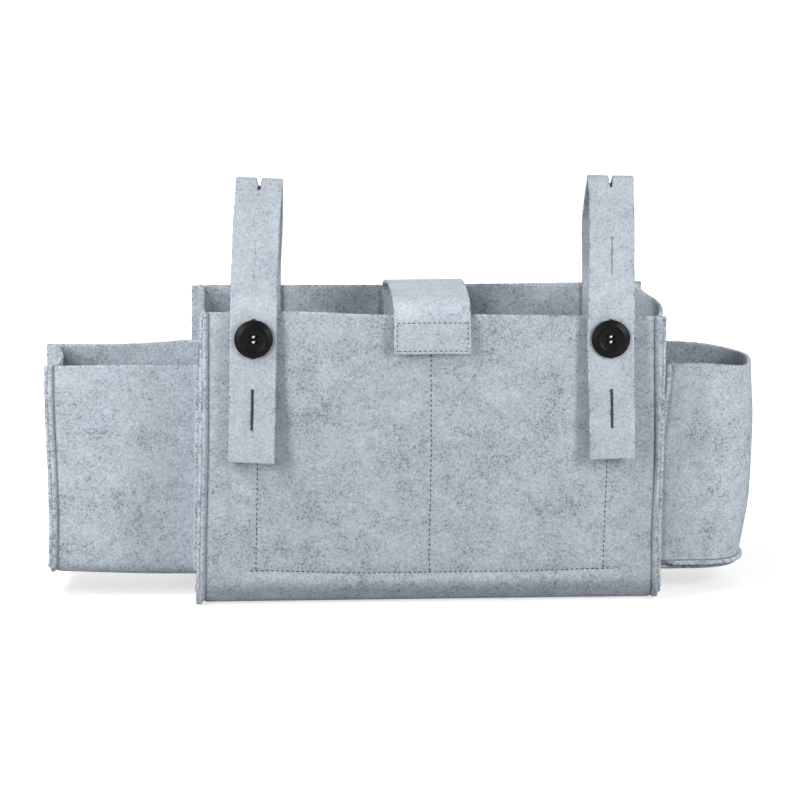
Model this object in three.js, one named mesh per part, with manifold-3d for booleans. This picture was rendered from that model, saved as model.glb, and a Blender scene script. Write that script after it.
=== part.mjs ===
// Felt bedside caddy: a folded main compartment, a boxy pocket on its left, a bottle pocket on
// its right, two hanging straps that button on the front, and a closure tab over the opening.
// Millimetres, X to the right, Y to the back, Z up. The origin is the middle of the main base.

import * as THREE from 'three';
import { mergeVertices } from 'three/addons/utils/BufferGeometryUtils.js';
import Module from 'manifold-3d';

const wasm = await Module();
wasm.setup();

// Driving dimensions

// Felt and seams
const felt = 3;
const plyGap = 0.3;
const frontFin = 4.5;
const backFin = 7;
const finTurn = Math.PI / 4;
const finRoot = 1.2;
const flangeReach = 7;

// Main compartment
const bodyWidth = 324;
const bodyDepth = 106;
const bodyHeight = 215;
const baseBend = 18;
const rightPanelBow = 7;
const rightBowHeight = 42;
const leftPanelBow = 0;

// Slip pocket inside the front
const innerPocketWidth = 260;
const innerPocketDrop = 25;
const innerPocketRise = 4;
const innerPocketBelly = 12;
const innerPocketHem = 4;

// Left pocket
const pocketDepth = 71.4;
const leftPocketWidth = 102;
const leftPocketHeight = 155;
const leftPocketRise = 3;
const leftPocketBend = 10;
const leftGussetBow = -7.5;

// Bottle pocket
const bottleReach = 73;
const bottleTaper = 7.5;
const bottleHeight = 153.5;
const bottleRise = 0.4;
const bottleFlange = 5;

// Straps
const strapWidth = 34;
const strapSpacing = 258;
const strapStandoff = 2;
const strapFoldHeight = 91;
const strapFoldRadius = 3.2;
const strapFoldY = 0;
const strapRise = 13;
const strapRiseBend = 40;
const strapLean = 4;
const strapLeanBend = 30;
const strapSewnLength = 50;
const slitLength = 29;
const slitWidth = 2;
const endToFirstSlit = 37;
const lowerSlitPitch = 53;
const upperSlitPitch = 60;
const foldSlitDepth = 12;

// Buttons
const buttonDiameter = 28;
const buttonThickness = 4.6;
const buttonDish = 18;
const buttonDishDepth = 1.7;
const buttonDrop = 16;
const buttonLift = 1.5;
const buttonBevel = 1.2;
const threadHole = 2;
const threadPitch = 4;
const threadThickness = 1.4;
const shankDiameter = 3.6;
const knotDiameter = 7.4;
const knotThickness = 1;

// Closure tab
const tabWidth = 55;
const tabShift = 2.3;
const tabEndDrop = 28;
const tabCrest = 8.5;
const tabCrestY = 15;
const tabShoulder = 4.5;
const tabShoulderBend = 8;
const tabCrestBend = 60;
const tabHingeRise = 2;
const tabSewnLength = 30;
const patchWidth = 50;
const patchHeight = 20;
const patchThickness = 1.2;
const patchMargin = 3;

// Facets
const arcStep = Math.PI / 12;
const roundSides = 28;

// Places that more than one piece shares

const halfFelt = felt / 2;
const plyStep = felt + plyGap;
const frontFace = -bodyDepth / 2;
const backFace = bodyDepth / 2;
const innerBackPly = backFace - felt - plyGap - halfFelt;
const seamShift = plyStep * Math.sin(finTurn);
const panelMid = bodyWidth / 2 + seamShift;
const panelOuter = panelMid + halfFelt;
const pocketBackFace = innerBackPly - halfFelt - plyGap;
const pocketBackMid = pocketBackFace - halfFelt;
const pocketFrontMid = pocketBackFace - pocketDepth + halfFelt;
const pocketInnerEnd = panelOuter + plyGap;
const innerPocketBase = baseBend + innerPocketRise;
const leftPocketLift = baseBend + leftPocketRise;
const bottleLift = baseBend + bottleRise;
const buttonHeight = bodyHeight - buttonDrop;
const strapFrontPly = frontFace - strapStandoff - halfFelt;
const strapEnd = buttonHeight - lowerSlitPitch - endToFirstSlit;
const tabFrontPly = frontFace - 2 * patchThickness - 3 * plyGap - halfFelt;

const finish = (color, roughness) => () => new THREE.MeshStandardMaterial({ color, roughness, metalness: 0 });
const feltMaterial = finish(0xbac4cf, 0.95);
const tapeMaterial = finish(0x9aa2ab, 0.9);
const buttonMaterial = finish(0x202124, 0.4);
const threadMaterial = finish(0xd8dade, 0.8);

// Solids

function solid(geometry) {
  const bare = geometry.clone();
  bare.deleteAttribute('normal');
  bare.deleteAttribute('uv');
  const merged = mergeVertices(bare, 1e-4);
  return new wasm.Manifold(new wasm.Mesh({
    numProp: 3,
    vertProperties: new Float32Array(merged.attributes.position.array),
    triVerts: new Uint32Array(merged.index.array),
  }));
}

function fromSolid(manifold) {
  const mesh = manifold.getMesh();
  const geometry = new THREE.BufferGeometry();
  geometry.setAttribute('position', new THREE.BufferAttribute(mesh.vertProperties, 3));
  geometry.setIndex(new THREE.BufferAttribute(mesh.triVerts, 1));
  return geometry;
}

function join(first, ...others) {
  return fromSolid(others.reduce((sum, g) => sum.add(solid(g)), solid(first)));
}

function cut(first, ...tools) {
  return fromSolid(tools.reduce((rest, g) => rest.subtract(solid(g)), solid(first)));
}

function box(low, high) {
  const size = [0, 1, 2].map((k) => high[k] - low[k]);
  const middle = [0, 1, 2].map((k) => (high[k] + low[k]) / 2);
  return new THREE.BoxGeometry(...size).translate(...middle);
}

// Closed skin over a list of rings that have equal point counts, with a cap on both ends.
function loft(rings) {
  const sides = rings[0].length;
  const points = rings.flat().flatMap((p) => p.toArray());
  const faces = [];
  for (let r = 0; r + 1 < rings.length; r += 1) {
    for (let k = 0; k < sides; k += 1) {
      const a = r * sides + k;
      const b = r * sides + ((k + 1) % sides);
      faces.push(a, b, b + sides, a, b + sides, a + sides);
    }
  }
  const last = (rings.length - 1) * sides;
  for (let k = 1; k + 1 < sides; k += 1) {
    faces.push(0, k + 1, k, last, last + k, last + k + 1);
  }
  return outward(points, faces);
}

// Closed slab between two grids of points: near and far give the two faces at (column, row).
function slab(columns, rows, near, far) {
  const points = [];
  for (const face of [near, far]) {
    for (let j = 0; j <= rows; j += 1) {
      for (let i = 0; i <= columns; i += 1) {
        points.push(...face(i, j).toArray());
      }
    }
  }
  const at = (i, j, side) => side * (columns + 1) * (rows + 1) + j * (columns + 1) + i;
  const faces = [];
  const quad = (a, b, c, d) => faces.push(a, b, c, a, c, d);
  for (let j = 0; j < rows; j += 1) {
    for (let i = 0; i < columns; i += 1) {
      quad(at(i, j, 0), at(i + 1, j, 0), at(i + 1, j + 1, 0), at(i, j + 1, 0));
      quad(at(i, j, 1), at(i, j + 1, 1), at(i + 1, j + 1, 1), at(i + 1, j, 1));
    }
  }
  for (let i = 0; i < columns; i += 1) {
    quad(at(i, 0, 0), at(i, 0, 1), at(i + 1, 0, 1), at(i + 1, 0, 0));
    quad(at(i, rows, 0), at(i + 1, rows, 0), at(i + 1, rows, 1), at(i, rows, 1));
  }
  for (let j = 0; j < rows; j += 1) {
    quad(at(0, j, 0), at(0, j + 1, 0), at(0, j + 1, 1), at(0, j, 1));
    quad(at(columns, j, 0), at(columns, j, 1), at(columns, j + 1, 1), at(columns, j + 1, 0));
  }
  return outward(points, faces);
}

// Geometry from points and faces, turned over where its faces point inwards.
function outward(points, faces) {
  let volume = 0;
  const corner = (k) => new THREE.Vector3(...points.slice(3 * k, 3 * k + 3));
  for (let f = 0; f < faces.length; f += 3) {
    const [a, b, c] = faces.slice(f, f + 3).map(corner);
    volume += a.dot(b.cross(c));
  }
  if (volume < 0) {
    faces.reverse();
  }
  const geometry = new THREE.BufferGeometry();
  geometry.setAttribute('position', new THREE.Float32BufferAttribute(points, 3));
  geometry.setIndex(faces);
  return geometry;
}

// Paths in the side view. A path is a list of stations { p, n }, points with their left normals.

function tangentLength(before, corner, after, radius) {
  const a = corner.clone().sub(before).normalize();
  const b = after.clone().sub(corner).normalize();
  return radius * Math.tan(Math.acos(a.dot(b)) / 2);
}

// A run of straight lines whose inner corners are rounded with the given radii.
function roundedPath(corners, radii) {
  const stations = [];
  const leftOf = (d) => new THREE.Vector2(-d.y, d.x);
  for (let k = 0; k < corners.length; k += 1) {
    const before = k > 0 ? corners[k].clone().sub(corners[k - 1]).normalize() : null;
    const after = k + 1 < corners.length ? corners[k + 1].clone().sub(corners[k]).normalize() : null;
    if (!before || !after) {
      stations.push({ p: corners[k].clone(), n: leftOf(before ?? after) });
      continue;
    }
    const radius = radii[k - 1];
    const reach = tangentLength(corners[k - 1], corners[k], corners[k + 1], radius);
    const turn = Math.atan2(before.cross(after), before.dot(after));
    const side = Math.sign(turn);
    const start = corners[k].clone().addScaledVector(before, -reach);
    const centre = start.clone().addScaledVector(leftOf(before), side * radius);
    const steps = Math.max(2, Math.ceil(Math.abs(turn) / arcStep));
    for (let s = 0; s <= steps; s += 1) {
      const n = leftOf(before).rotateAround(new THREE.Vector2(), (turn * s) / steps);
      stations.push({ p: centre.clone().addScaledVector(n, -side * radius), n });
    }
  }
  return stations;
}

// Point, direction and normal at a distance along a path.
function along(path, distance) {
  let left = distance;
  for (let k = 0; k + 1 < path.length; k += 1) {
    const step = path[k + 1].p.clone().sub(path[k].p);
    const length = step.length();
    if (left <= length || k + 2 === path.length) {
      const d = step.normalize();
      return { p: path[k].p.clone().addScaledVector(d, left), d };
    }
    left -= length;
  }
  return null;
}

// A felt strip seen edge-on: its path thickened to both sides, with an optional round start.
function stripOutline(path, roundStart = false) {
  const outline = path.map(({ p, n }) => p.clone().addScaledVector(n, halfFelt));
  const back = path.map(({ p, n }) => p.clone().addScaledVector(n, -halfFelt)).reverse();
  outline.push(...back);
  if (roundStart) {
    const { p, n } = path[0];
    const steps = 6;
    for (let s = 1; s < steps; s += 1) {
      const turned = n.clone().rotateAround(new THREE.Vector2(), Math.PI - (Math.PI * s) / steps);
      outline.push(p.clone().addScaledVector(turned, halfFelt));
    }
  }
  return outline;
}

// A side-view outline pulled along X. The shape's own X and Y become the caddy's Y and Z.
function pulled(outline, left, right) {
  const geometry = new THREE.ExtrudeGeometry(new THREE.Shape(outline), {
    depth: right - left,
    bevelEnabled: false,
    steps: 1,
  });
  const side = new THREE.Matrix4().makeBasis(
    new THREE.Vector3(0, 1, 0),
    new THREE.Vector3(0, 0, 1),
    new THREE.Vector3(1, 0, 0),
  );
  return geometry.applyMatrix4(side).translate(left, 0, 0);
}

const point = (y, z) => new THREE.Vector2(y, z);
const place = (x, yz) => new THREE.Vector3(x, yz.x, yz.y);

// Slings: front, base and back folded from one sheet, and the end panels sewn into them

// Middle line of a folded sheet from its front rim down, under and up to its back rim.
function slingPath({ front, back, base, top, bend }) {
  const corners = [point(front, top), point(front, base), point(back, base), point(back, top)];
  return roundedPath(corners, [bend, bend]);
}

// Seam line along a sling: the fin stands out diagonally along the front and flat elsewhere.
function seamStations(path) {
  return path.map(({ p, n }) => {
    const out = n.clone().negate();
    const frontShare = Math.max(0, -out.x) ** 3;
    const turn = finTurn * frontShare;
    return { p, out, turn, reach: backFin + (frontFin - backFin) * frontShare };
  });
}

// How much further the outer ply runs than the inner one, so that both end level.
function finLead(turn) {
  return Math.cos(turn) * (seamShift - plyStep * Math.sin(turn));
}

// Inner ply of the seam: a swept felt strip that leaves an end panel at each station's own angle.
function panelFin(stations, x0, side) {
  const rings = stations.map(({ p, out, turn, reach }) => {
    const base = place(x0, p.clone().addScaledVector(out, -plyStep * Math.cos(turn)));
    const ahead = place(side * Math.cos(turn), out.clone().multiplyScalar(Math.sin(turn)));
    const across = place(side * Math.sin(turn), out.clone().multiplyScalar(-Math.cos(turn)));
    const corner = (u, v) => base.clone().addScaledVector(ahead, u).addScaledVector(across, v);
    return [
      corner(-finRoot, -halfFelt),
      corner(reach, -halfFelt),
      corner(reach, halfFelt),
      corner(-finRoot, halfFelt),
    ];
  });
  return loft(rings);
}

// The folded sheet between two X places. Each end that is sewn to a panel has a fin, which is bent
// out of the sheet along the seam line with a mitred fold.
function sling(path, left, right, finSides) {
  const stations = seamStations(path);
  const flatEdge = (x) => ({ p, out }) => [{ mid: place(x, p), off: place(0, out).multiplyScalar(halfFelt) }];
  const finEdge = (x, side) => ({ p, out, turn, reach }) => {
    const ahead = place(side * Math.cos(turn), out.clone().multiplyScalar(Math.sin(turn)));
    const up = place(-side * Math.sin(turn), out.clone().multiplyScalar(Math.cos(turn)));
    const fold = place(x, p);
    const mitre = up.clone().add(place(0, out)).normalize();
    return [
      { mid: fold, off: mitre.multiplyScalar(halfFelt / Math.cos(turn / 2)) },
      { mid: fold.clone().addScaledVector(ahead, reach + finLead(turn)), off: up.multiplyScalar(halfFelt) },
    ];
  };
  const edge = (x, side) => (finSides.includes(side) ? finEdge(x, side) : flatEdge(x));
  const rows = stations.map((at) => [...edge(left, -1)(at).reverse(), ...edge(right, 1)(at)]);
  const face = (side) => (i, j) => rows[j][i].mid.clone().addScaledVector(rows[j][i].off, side);
  return slab(rows[0].length - 1, rows.length - 1, face(1), face(-1));
}

// End panel that closes a sling: a plate inside the fold, bowed by up to bow, with an outer fin.
function endPanel(path, seamX, side, bow, bowBase) {
  const stations = seamStations(path);
  const x0 = seamX + side * seamShift;
  const edge = stations.map(({ p, out, turn }) => p.clone().addScaledVector(out, -plyStep * Math.cos(turn)));
  const half = edge.length / 2;
  const uprightRows = 14;
  const pairs = [];
  for (let k = half - 1; k > 0; k -= 1) {
    pairs.push([edge[k], edge[edge.length - 1 - k]]);
  }
  for (let k = 1; k <= uprightRows; k += 1) {
    const up = k / uprightRows;
    pairs.push([
      edge[1].clone().lerp(edge[0], up),
      edge[edge.length - 2].clone().lerp(edge[edge.length - 1], up),
    ]);
  }
  const columns = 8;
  const top = edge[0].y;
  const bowAt = (u, z) => {
    const rise = Math.max(0, (z - bowBase) / (top - bowBase));
    return side * bow * Math.sin(Math.PI * u) * rise * rise;
  };
  const face = (offset) => (i, j) => {
    const u = i / columns;
    const at = pairs[j][0].clone().lerp(pairs[j][1], u);
    return place(x0 + bowAt(u, at.y) + offset, at);
  };
  const plate = slab(columns, pairs.length - 1, face(-halfFelt), face(halfFelt));
  return join(plate, panelFin(stations, x0, side));
}

const bodyPath = slingPath({
  front: frontFace + halfFelt,
  back: backFace - halfFelt,
  base: halfFelt,
  top: bodyHeight,
  bend: baseBend - halfFelt,
});

const leftPocketPath = slingPath({
  front: pocketFrontMid,
  back: pocketBackMid,
  base: leftPocketLift + halfFelt,
  top: leftPocketLift + leftPocketHeight,
  bend: leftPocketBend - halfFelt,
});

const strapX = { left: -strapSpacing / 2, right: strapSpacing / 2 };

function makeMainSling() {
  const sheet = sling(bodyPath, -bodyWidth / 2, bodyWidth / 2, [-1, 1]);
  const holes = Object.values(strapX).map((x) => {
    const drill = new THREE.CylinderGeometry(1, 1, 3 * felt, 12);
    const wide = shankDiameter / 2 + plyGap;
    return drill.scale(wide, 1, wide).translate(x, frontFace + halfFelt, buttonHeight);
  });
  return cut(sheet, ...holes);
}

function makeSidePanel(side, bow) {
  return endPanel(bodyPath, (side * bodyWidth) / 2, side, bow, bodyHeight - rightBowHeight);
}

// Slip pocket: flat on the front at its hems, its base and its middle seam, with a belly between.
function makeInnerPocket() {
  const columns = 20;
  const rows = 8;
  const top = bodyHeight - innerPocketDrop;
  const flatY = frontFace + felt + plyGap;
  const half = innerPocketWidth / 2 - innerPocketHem;
  const face = (offset) => (i, j) => {
    const x = innerPocketWidth * (i / columns - 0.5);
    const z = innerPocketBase + ((top - innerPocketBase) * j) / rows;
    const inside = Math.min(1, Math.abs(x) / half);
    const belly = innerPocketBelly * Math.sin(Math.PI * inside) * Math.sin((Math.PI / 2) * (j / rows));
    return new THREE.Vector3(x, flatY + belly + offset, z);
  };
  return slab(columns, rows, face(0), face(felt));
}

function makeLeftPocketSling() {
  const left = -pocketInnerEnd - leftPocketWidth;
  const right = -pocketInnerEnd;
  const sheet = sling(leftPocketPath, left, right, [-1]);
  return join(sheet, frontFlange(-1, leftPocketLift + leftPocketBend, leftPocketLift + leftPocketHeight));
}

// Flange that turns forward from a pocket's front wall and lies on the main side panel.
function frontFlange(side, low, high) {
  const near = side * pocketInnerEnd;
  const far = side * (pocketInnerEnd + felt);
  const front = pocketFrontMid - halfFelt - flangeReach;
  return box(
    [Math.min(near, far), front, low],
    [Math.max(near, far), pocketFrontMid + halfFelt, high],
  );
}

function makeLeftPocketGusset() {
  const seamX = -pocketInnerEnd - leftPocketWidth;
  return endPanel(leftPocketPath, seamX, -1, leftGussetBow, leftPocketLift + leftPocketBend);
}

// Bottle pocket: a wall with a round end that leans in more and more towards its base, where it is
// flanged out over the base.

const bottleBaseTop = bottleLift + felt + plyGap;
const bottleTop = bottleLift + bottleHeight;

// Plan curve of the wall's middle: straight from the body, a half circle, and straight back.
// grow moves the curve outwards.
function bottlePlan(reach, grow) {
  const halfDepth = (pocketBackMid - pocketFrontMid) / 2;
  const middle = (pocketBackMid + pocketFrontMid) / 2;
  const start = pocketInnerEnd;
  const bendX = start + reach - halfFelt - halfDepth;
  const steps = 14;
  const points = [new THREE.Vector2(start, middle - halfDepth - grow)];
  for (let s = 0; s <= steps; s += 1) {
    const turn = -Math.PI / 2 + (Math.PI * s) / steps;
    points.push(new THREE.Vector2(
      bendX + (halfDepth + grow) * Math.cos(turn),
      middle + (halfDepth + grow) * Math.sin(turn),
    ));
  }
  points.push(new THREE.Vector2(start, middle + halfDepth + grow));
  return points;
}

function makeBottleWall() {
  const rows = 6;
  const wallLow = bottleBaseTop;
  const columns = bottlePlan(bottleReach, 0).length - 1;
  const face = (grow) => (i, j) => {
    const up = j / rows;
    const at = bottlePlan(bottleReach - bottleTaper * (1 - up) ** 3, grow)[i];
    return new THREE.Vector3(at.x, at.y, wallLow + (bottleTop - wallLow) * up);
  };
  const wall = slab(columns, rows, face(-halfFelt), face(halfFelt));
  const reach = bottleReach - bottleTaper;
  const rim = (grow, z) => (i) => {
    const at = bottlePlan(reach, grow)[i];
    return new THREE.Vector3(at.x, Math.min(at.y, pocketBackFace), z);
  };
  const flange = slab(
    columns,
    1,
    (i, j) => rim(j ? bottleFlange + halfFelt : 0, wallLow)(i),
    (i, j) => rim(j ? bottleFlange + halfFelt : 0, wallLow + felt)(i),
  );
  return join(wall, flange, frontFlange(1, bottleBaseTop, bottleTop));
}

function makeBottleBase() {
  const outline = bottlePlan(bottleReach - bottleTaper, bottleFlange + halfFelt);
  const seated = outline.map((at) => new THREE.Vector2(at.x, Math.min(at.y, pocketBackFace)));
  const plate = new THREE.ExtrudeGeometry(new THREE.Shape(seated), { depth: felt, bevelEnabled: false });
  return plate.translate(0, 0, bottleLift);
}

// Straps: sewn inside the back, up to a sharp fold, down over the front rim and past the button

const strapFold = point(strapFoldY, bodyHeight + strapFoldHeight);
const strapShoulder = point(strapFrontPly, bodyHeight + strapLean);
const strapRear = point(innerBackPly, bodyHeight + strapRise);
const foldReach = tangentLength(strapRear, strapFold, strapShoulder, strapFoldRadius);
const foldDown = strapShoulder.clone().sub(strapFold).normalize();

const rearPlyPath = roundedPath(
  [
    point(innerBackPly, bodyHeight - strapSewnLength),
    strapRear,
    strapFold,
    strapFold.clone().addScaledVector(foldDown, foldReach + plyGap),
  ],
  [strapRiseBend, strapFoldRadius],
);

const frontPlyPath = roundedPath(
  [
    point(strapFrontPly, strapEnd),
    strapShoulder,
    strapFold.clone().addScaledVector(foldDown, foldReach + 2 * plyGap),
  ],
  [strapLeanBend],
);

// Cutter for the slit that runs over the fold.
function foldSlit(x) {
  const half = strapWidth / 2;
  return box(
    [x - slitWidth / 2, strapFoldY - half, strapFold.y - foldSlitDepth],
    [x + slitWidth / 2, strapFoldY + half, strapFold.y + half],
  );
}

// Cutter for a straight slit at a distance from the strap's end.
function slit(x, distance) {
  const { p, d } = along(frontPlyPath, distance);
  const tool = new THREE.BoxGeometry(slitWidth, 3 * felt, slitLength);
  return tool.rotateX(Math.atan2(d.y, d.x) - Math.PI / 2).translate(x, p.x, p.y);
}

// Cutter for the slit that the button's shank holds open: a lens of two arcs.
function openSlit(x) {
  const half = slitLength / 2;
  const wide = shankDiameter / 2 + plyGap;
  const steps = 8;
  const side = (sign) => Array.from({ length: steps }, (_, s) => {
    const t = (s / steps) * 2 - 1;
    return new THREE.Vector2(sign * wide * (1 - t * t), sign * half * t);
  });
  const lens = new THREE.Shape([...side(1), ...side(-1)]);
  const tool = new THREE.ExtrudeGeometry(lens, { depth: 3 * felt, bevelEnabled: false });
  return tool.rotateX(Math.PI / 2).translate(x, strapFrontPly + 1.5 * felt, buttonHeight);
}

function makeRearPly(x) {
  return cut(pulled(stripOutline(rearPlyPath), x - strapWidth / 2, x + strapWidth / 2), foldSlit(x));
}

function makeFrontPly(x) {
  const ply = pulled(stripOutline(frontPlyPath), x - strapWidth / 2, x + strapWidth / 2);
  const upper = endToFirstSlit + lowerSlitPitch + upperSlitPitch;
  return cut(ply, slit(x, endToFirstSlit), openSlit(x), slit(x, upper), foldSlit(x));
}

// Buttons: a turned disc with a raised rim, a dish and four sewing holes

const buttonBack = strapFrontPly - halfFelt - buttonLift;
const holePlaces = [-1, 1].flatMap((a) => [-1, 1].map((b) => [(a * threadPitch) / 2, (b * threadPitch) / 2]));

function makeButton(x) {
  const radius = buttonDiameter / 2;
  const dish = buttonDish / 2;
  const profile = [
    [0, 0],
    [radius - buttonBevel, 0],
    [radius, buttonBevel],
    [radius, buttonThickness - buttonBevel],
    [radius - buttonBevel, buttonThickness - buttonBevel / 3],
    [radius - 2 * buttonBevel, buttonThickness],
    [dish + buttonBevel / 2, buttonThickness],
    [dish - buttonBevel / 2, buttonThickness - buttonDishDepth],
    [0, buttonThickness - buttonDishDepth],
  ].map(([r, h]) => new THREE.Vector2(r, h));
  const disc = new THREE.LatheGeometry(profile, roundSides);
  const holes = holePlaces.map(([a, b]) => {
    const drill = new THREE.CylinderGeometry(threadHole / 2, threadHole / 2, 3 * buttonThickness, 10);
    return drill.translate(a, 0, b);
  });
  return cut(disc, ...holes).rotateX(Math.PI).translate(x, buttonBack, buttonHeight);
}

// Thread: two bars on the dish, four legs through the holes, a wound shank and a knot inside.
function makeButtonThread(x) {
  const half = threadThickness / 2;
  const rod = (thick, from, to) => {
    const bar = new THREE.CylinderGeometry(thick / 2, thick / 2, to - from, 12);
    return bar.translate(0, (from + to) / 2, 0);
  };
  const dishFace = buttonBack - buttonThickness + buttonDishDepth;
  const barY = dishFace - half - plyGap;
  const inside = frontFace + felt + plyGap;
  const pad = rod(knotDiameter, buttonBack + plyGap, buttonBack + plyGap + knotThickness);
  const leg = ([a, b]) => rod(threadThickness, barY, buttonBack + 2 * plyGap).translate(a, 0, b);
  const legs = holePlaces.map(leg);
  const bars = [-1, 1].map((side) => {
    const bar = new THREE.CylinderGeometry(half, half, threadPitch + threadThickness, 10);
    return bar.rotateZ(Math.PI / 2).translate(0, barY, (side * threadPitch) / 2);
  });
  const shank = rod(shankDiameter, buttonBack + 2 * plyGap, inside + knotThickness / 2);
  const knot = rod(knotDiameter, inside, inside + knotThickness);
  return join(pad, ...legs, ...bars, shank, knot).translate(x, 0, buttonHeight);
}

// Closure tab: leaves the inside of the back, arches over the opening and hooks on the front

const tabHinge = point(innerBackPly, bodyHeight + tabHingeRise);
const tabEnd = bodyHeight - tabEndDrop;
const tabSides = [tabShift - tabWidth / 2, tabShift + tabWidth / 2];
const patchBase = tabEnd + patchMargin;

function makeClosureTab() {
  const path = roundedPath(
    [
      tabHinge,
      point(tabCrestY, bodyHeight + tabCrest),
      point(tabFrontPly, bodyHeight + tabShoulder),
      point(tabFrontPly, tabEnd),
    ],
    [tabCrestBend, tabShoulderBend],
  );
  return pulled(stripOutline(path, true), ...tabSides);
}

function makeTabAnchor() {
  return box(
    [tabSides[0], innerBackPly - halfFelt, bodyHeight - tabSewnLength],
    [tabSides[1], innerBackPly + halfFelt, tabHinge.y - halfFelt - plyGap],
  );
}

// Tape patch whose front face lies at the given Y.
function makePatch(frontY) {
  return box(
    [tabShift - patchWidth / 2, frontY, patchBase],
    [tabShift + patchWidth / 2, frontY + patchThickness, patchBase + patchHeight],
  );
}

// The caddy

const caddy = new THREE.Group();
caddy.name = 'bedside_caddy';

function add(name, geometry, material) {
  const mesh = new THREE.Mesh(geometry, material);
  mesh.name = name;
  caddy.add(mesh);
}

add('main_sling', makeMainSling(), feltMaterial());
add('left_side_panel', makeSidePanel(-1, leftPanelBow), feltMaterial());
add('right_side_panel', makeSidePanel(1, rightPanelBow), feltMaterial());
add('inner_pocket_panel', makeInnerPocket(), feltMaterial());
add('left_pocket_sling', makeLeftPocketSling(), feltMaterial());
add('left_pocket_gusset', makeLeftPocketGusset(), feltMaterial());
add('right_pocket_wall', makeBottleWall(), feltMaterial());
add('right_pocket_base', makeBottleBase(), feltMaterial());
for (const [side, x] of Object.entries(strapX)) {
  add(`${side}_strap_rear_ply`, makeRearPly(x), feltMaterial());
  add(`${side}_strap_front_ply`, makeFrontPly(x), feltMaterial());
  add(`${side}_button`, makeButton(x), buttonMaterial());
  add(`${side}_button_thread`, makeButtonThread(x), threadMaterial());
}
add('closure_tab', makeClosureTab(), feltMaterial());
add('closure_tab_anchor', makeTabAnchor(), feltMaterial());
add('panel_loop_patch', makePatch(frontFace - plyGap - patchThickness), tapeMaterial());
add('tab_hook_patch', makePatch(frontFace - 2 * plyGap - 2 * patchThickness), tapeMaterial());

export default caddy;
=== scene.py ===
"""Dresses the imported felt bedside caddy: its felt sheets, straps, tab, buttons, stitches and studio."""

from types import SimpleNamespace

import bpy
import numpy as np
from bpy.props import FloatProperty, FloatVectorProperty, PointerProperty
from mathutils import Matrix, Vector


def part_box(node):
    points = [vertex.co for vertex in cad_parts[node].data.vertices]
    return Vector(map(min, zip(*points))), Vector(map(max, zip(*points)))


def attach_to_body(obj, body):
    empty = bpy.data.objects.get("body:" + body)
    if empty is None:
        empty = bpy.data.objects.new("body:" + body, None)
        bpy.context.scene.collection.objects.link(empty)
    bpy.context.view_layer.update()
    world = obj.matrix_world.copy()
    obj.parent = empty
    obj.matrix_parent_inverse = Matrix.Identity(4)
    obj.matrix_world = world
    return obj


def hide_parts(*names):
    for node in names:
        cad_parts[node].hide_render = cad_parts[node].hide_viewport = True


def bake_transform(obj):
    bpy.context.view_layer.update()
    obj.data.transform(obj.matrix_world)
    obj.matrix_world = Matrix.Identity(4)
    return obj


bl_info = {
    "name": "Felt bedside caddy",
    "version": (1, 0, 0),
    "blender": (4, 5, 0),
    "location": "View3D > Sidebar > Caddy",
    "description": "Builds the felt, straps, buttons and stitches of a bedside caddy",
    "category": "Object",
}

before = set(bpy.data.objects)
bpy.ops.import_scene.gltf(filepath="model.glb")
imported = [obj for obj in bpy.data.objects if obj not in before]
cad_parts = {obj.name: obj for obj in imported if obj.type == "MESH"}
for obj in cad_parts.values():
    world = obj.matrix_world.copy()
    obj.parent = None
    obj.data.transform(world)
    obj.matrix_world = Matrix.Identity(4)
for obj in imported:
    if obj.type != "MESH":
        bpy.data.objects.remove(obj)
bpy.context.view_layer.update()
MM = 0.001

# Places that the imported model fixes, in metres: X to the right, Y to the back, Z up.
PLY_GAP = 0.3 * MM
BODY_SEAM = 162 * MM
BODY_FRONT = -51.5 * MM
BODY_BACK = 51.5 * MM
BODY_BASE = 1.5 * MM
BODY_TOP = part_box("main_sling")[1].z
BODY_BEND = 16.5 * MM
PANEL_BOW = 5.2 * MM
PANEL_BOW_BASE = BODY_TOP - 42 * MM
POCKET_FRONT = -23.5 * MM
POCKET_BACK = 44.9 * MM
POCKET_END = 166.13 * MM
LEFT_SEAM = -268.13 * MM
LEFT_BASE = 22.5 * MM
LEFT_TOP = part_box("left_pocket_sling")[1].z
LEFT_BEND = 8.5 * MM
GUSSET_BOW = -6.0 * MM
GUSSET_BOW_BASE = LEFT_BASE + LEFT_BEND
BOTTLE_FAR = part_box("right_pocket_wall")[1].x
BOTTLE_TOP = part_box("right_pocket_wall")[1].z
BOTTLE_FOOT = 23.2 * MM
BOTTLE_FLANGE = 4.6 * MM
BOTTLE_TAPER = 7.5 * MM
BOTTLE_BASE = 19.9 * MM
SLIP_HALF = 130 * MM
SLIP_SEAM = 126 * MM
SLIP_BASE = 22 * MM
SLIP_TOP = 190 * MM
SLIP_Y = -48.2 * MM
SLIP_BELLY = 12 * MM
UPRIGHT_ROWS = np.array([(-125.2, -126), (0, 0), (126, 129.6)]) * MM
STRAP_X = {"left": -129 * MM, "right": 129 * MM}
STRAP_HALF = 17 * MM
BUTTON_Z = 199 * MM
BUTTON_BACK = -59.5 * MM
BUTTON_LIFT = {"left": 1.0 * MM, "right": -1.5 * MM}
TAB_SIDES = (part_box("closure_tab")[0].x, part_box("closure_tab")[1].x)

# Seams: both plies stand out as a fin, diagonal along the front and square along base and back.
FIN_TURN = np.pi / 4
FRONT_FIN = 2.9 * MM
BACK_FIN = 5.6 * MM
BASE_FIN = 1.3 * MM
FLANGE = 8.5 * MM
FIN_CUTS = np.array([0.25, 0.6, 1.0])
FOLD_SOFTNESS = 1.1 * MM
CREASE_DEPTH = 1.3 * MM
CREASE_WIDTH = 1.0 * MM
# Painted shade: the felt's colour is darkened along a sewn crease, where shade falls in the seam's valley.
CREASE_PAINTED_SHADE = 0.5
PRESSED = 1.0 * MM
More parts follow.
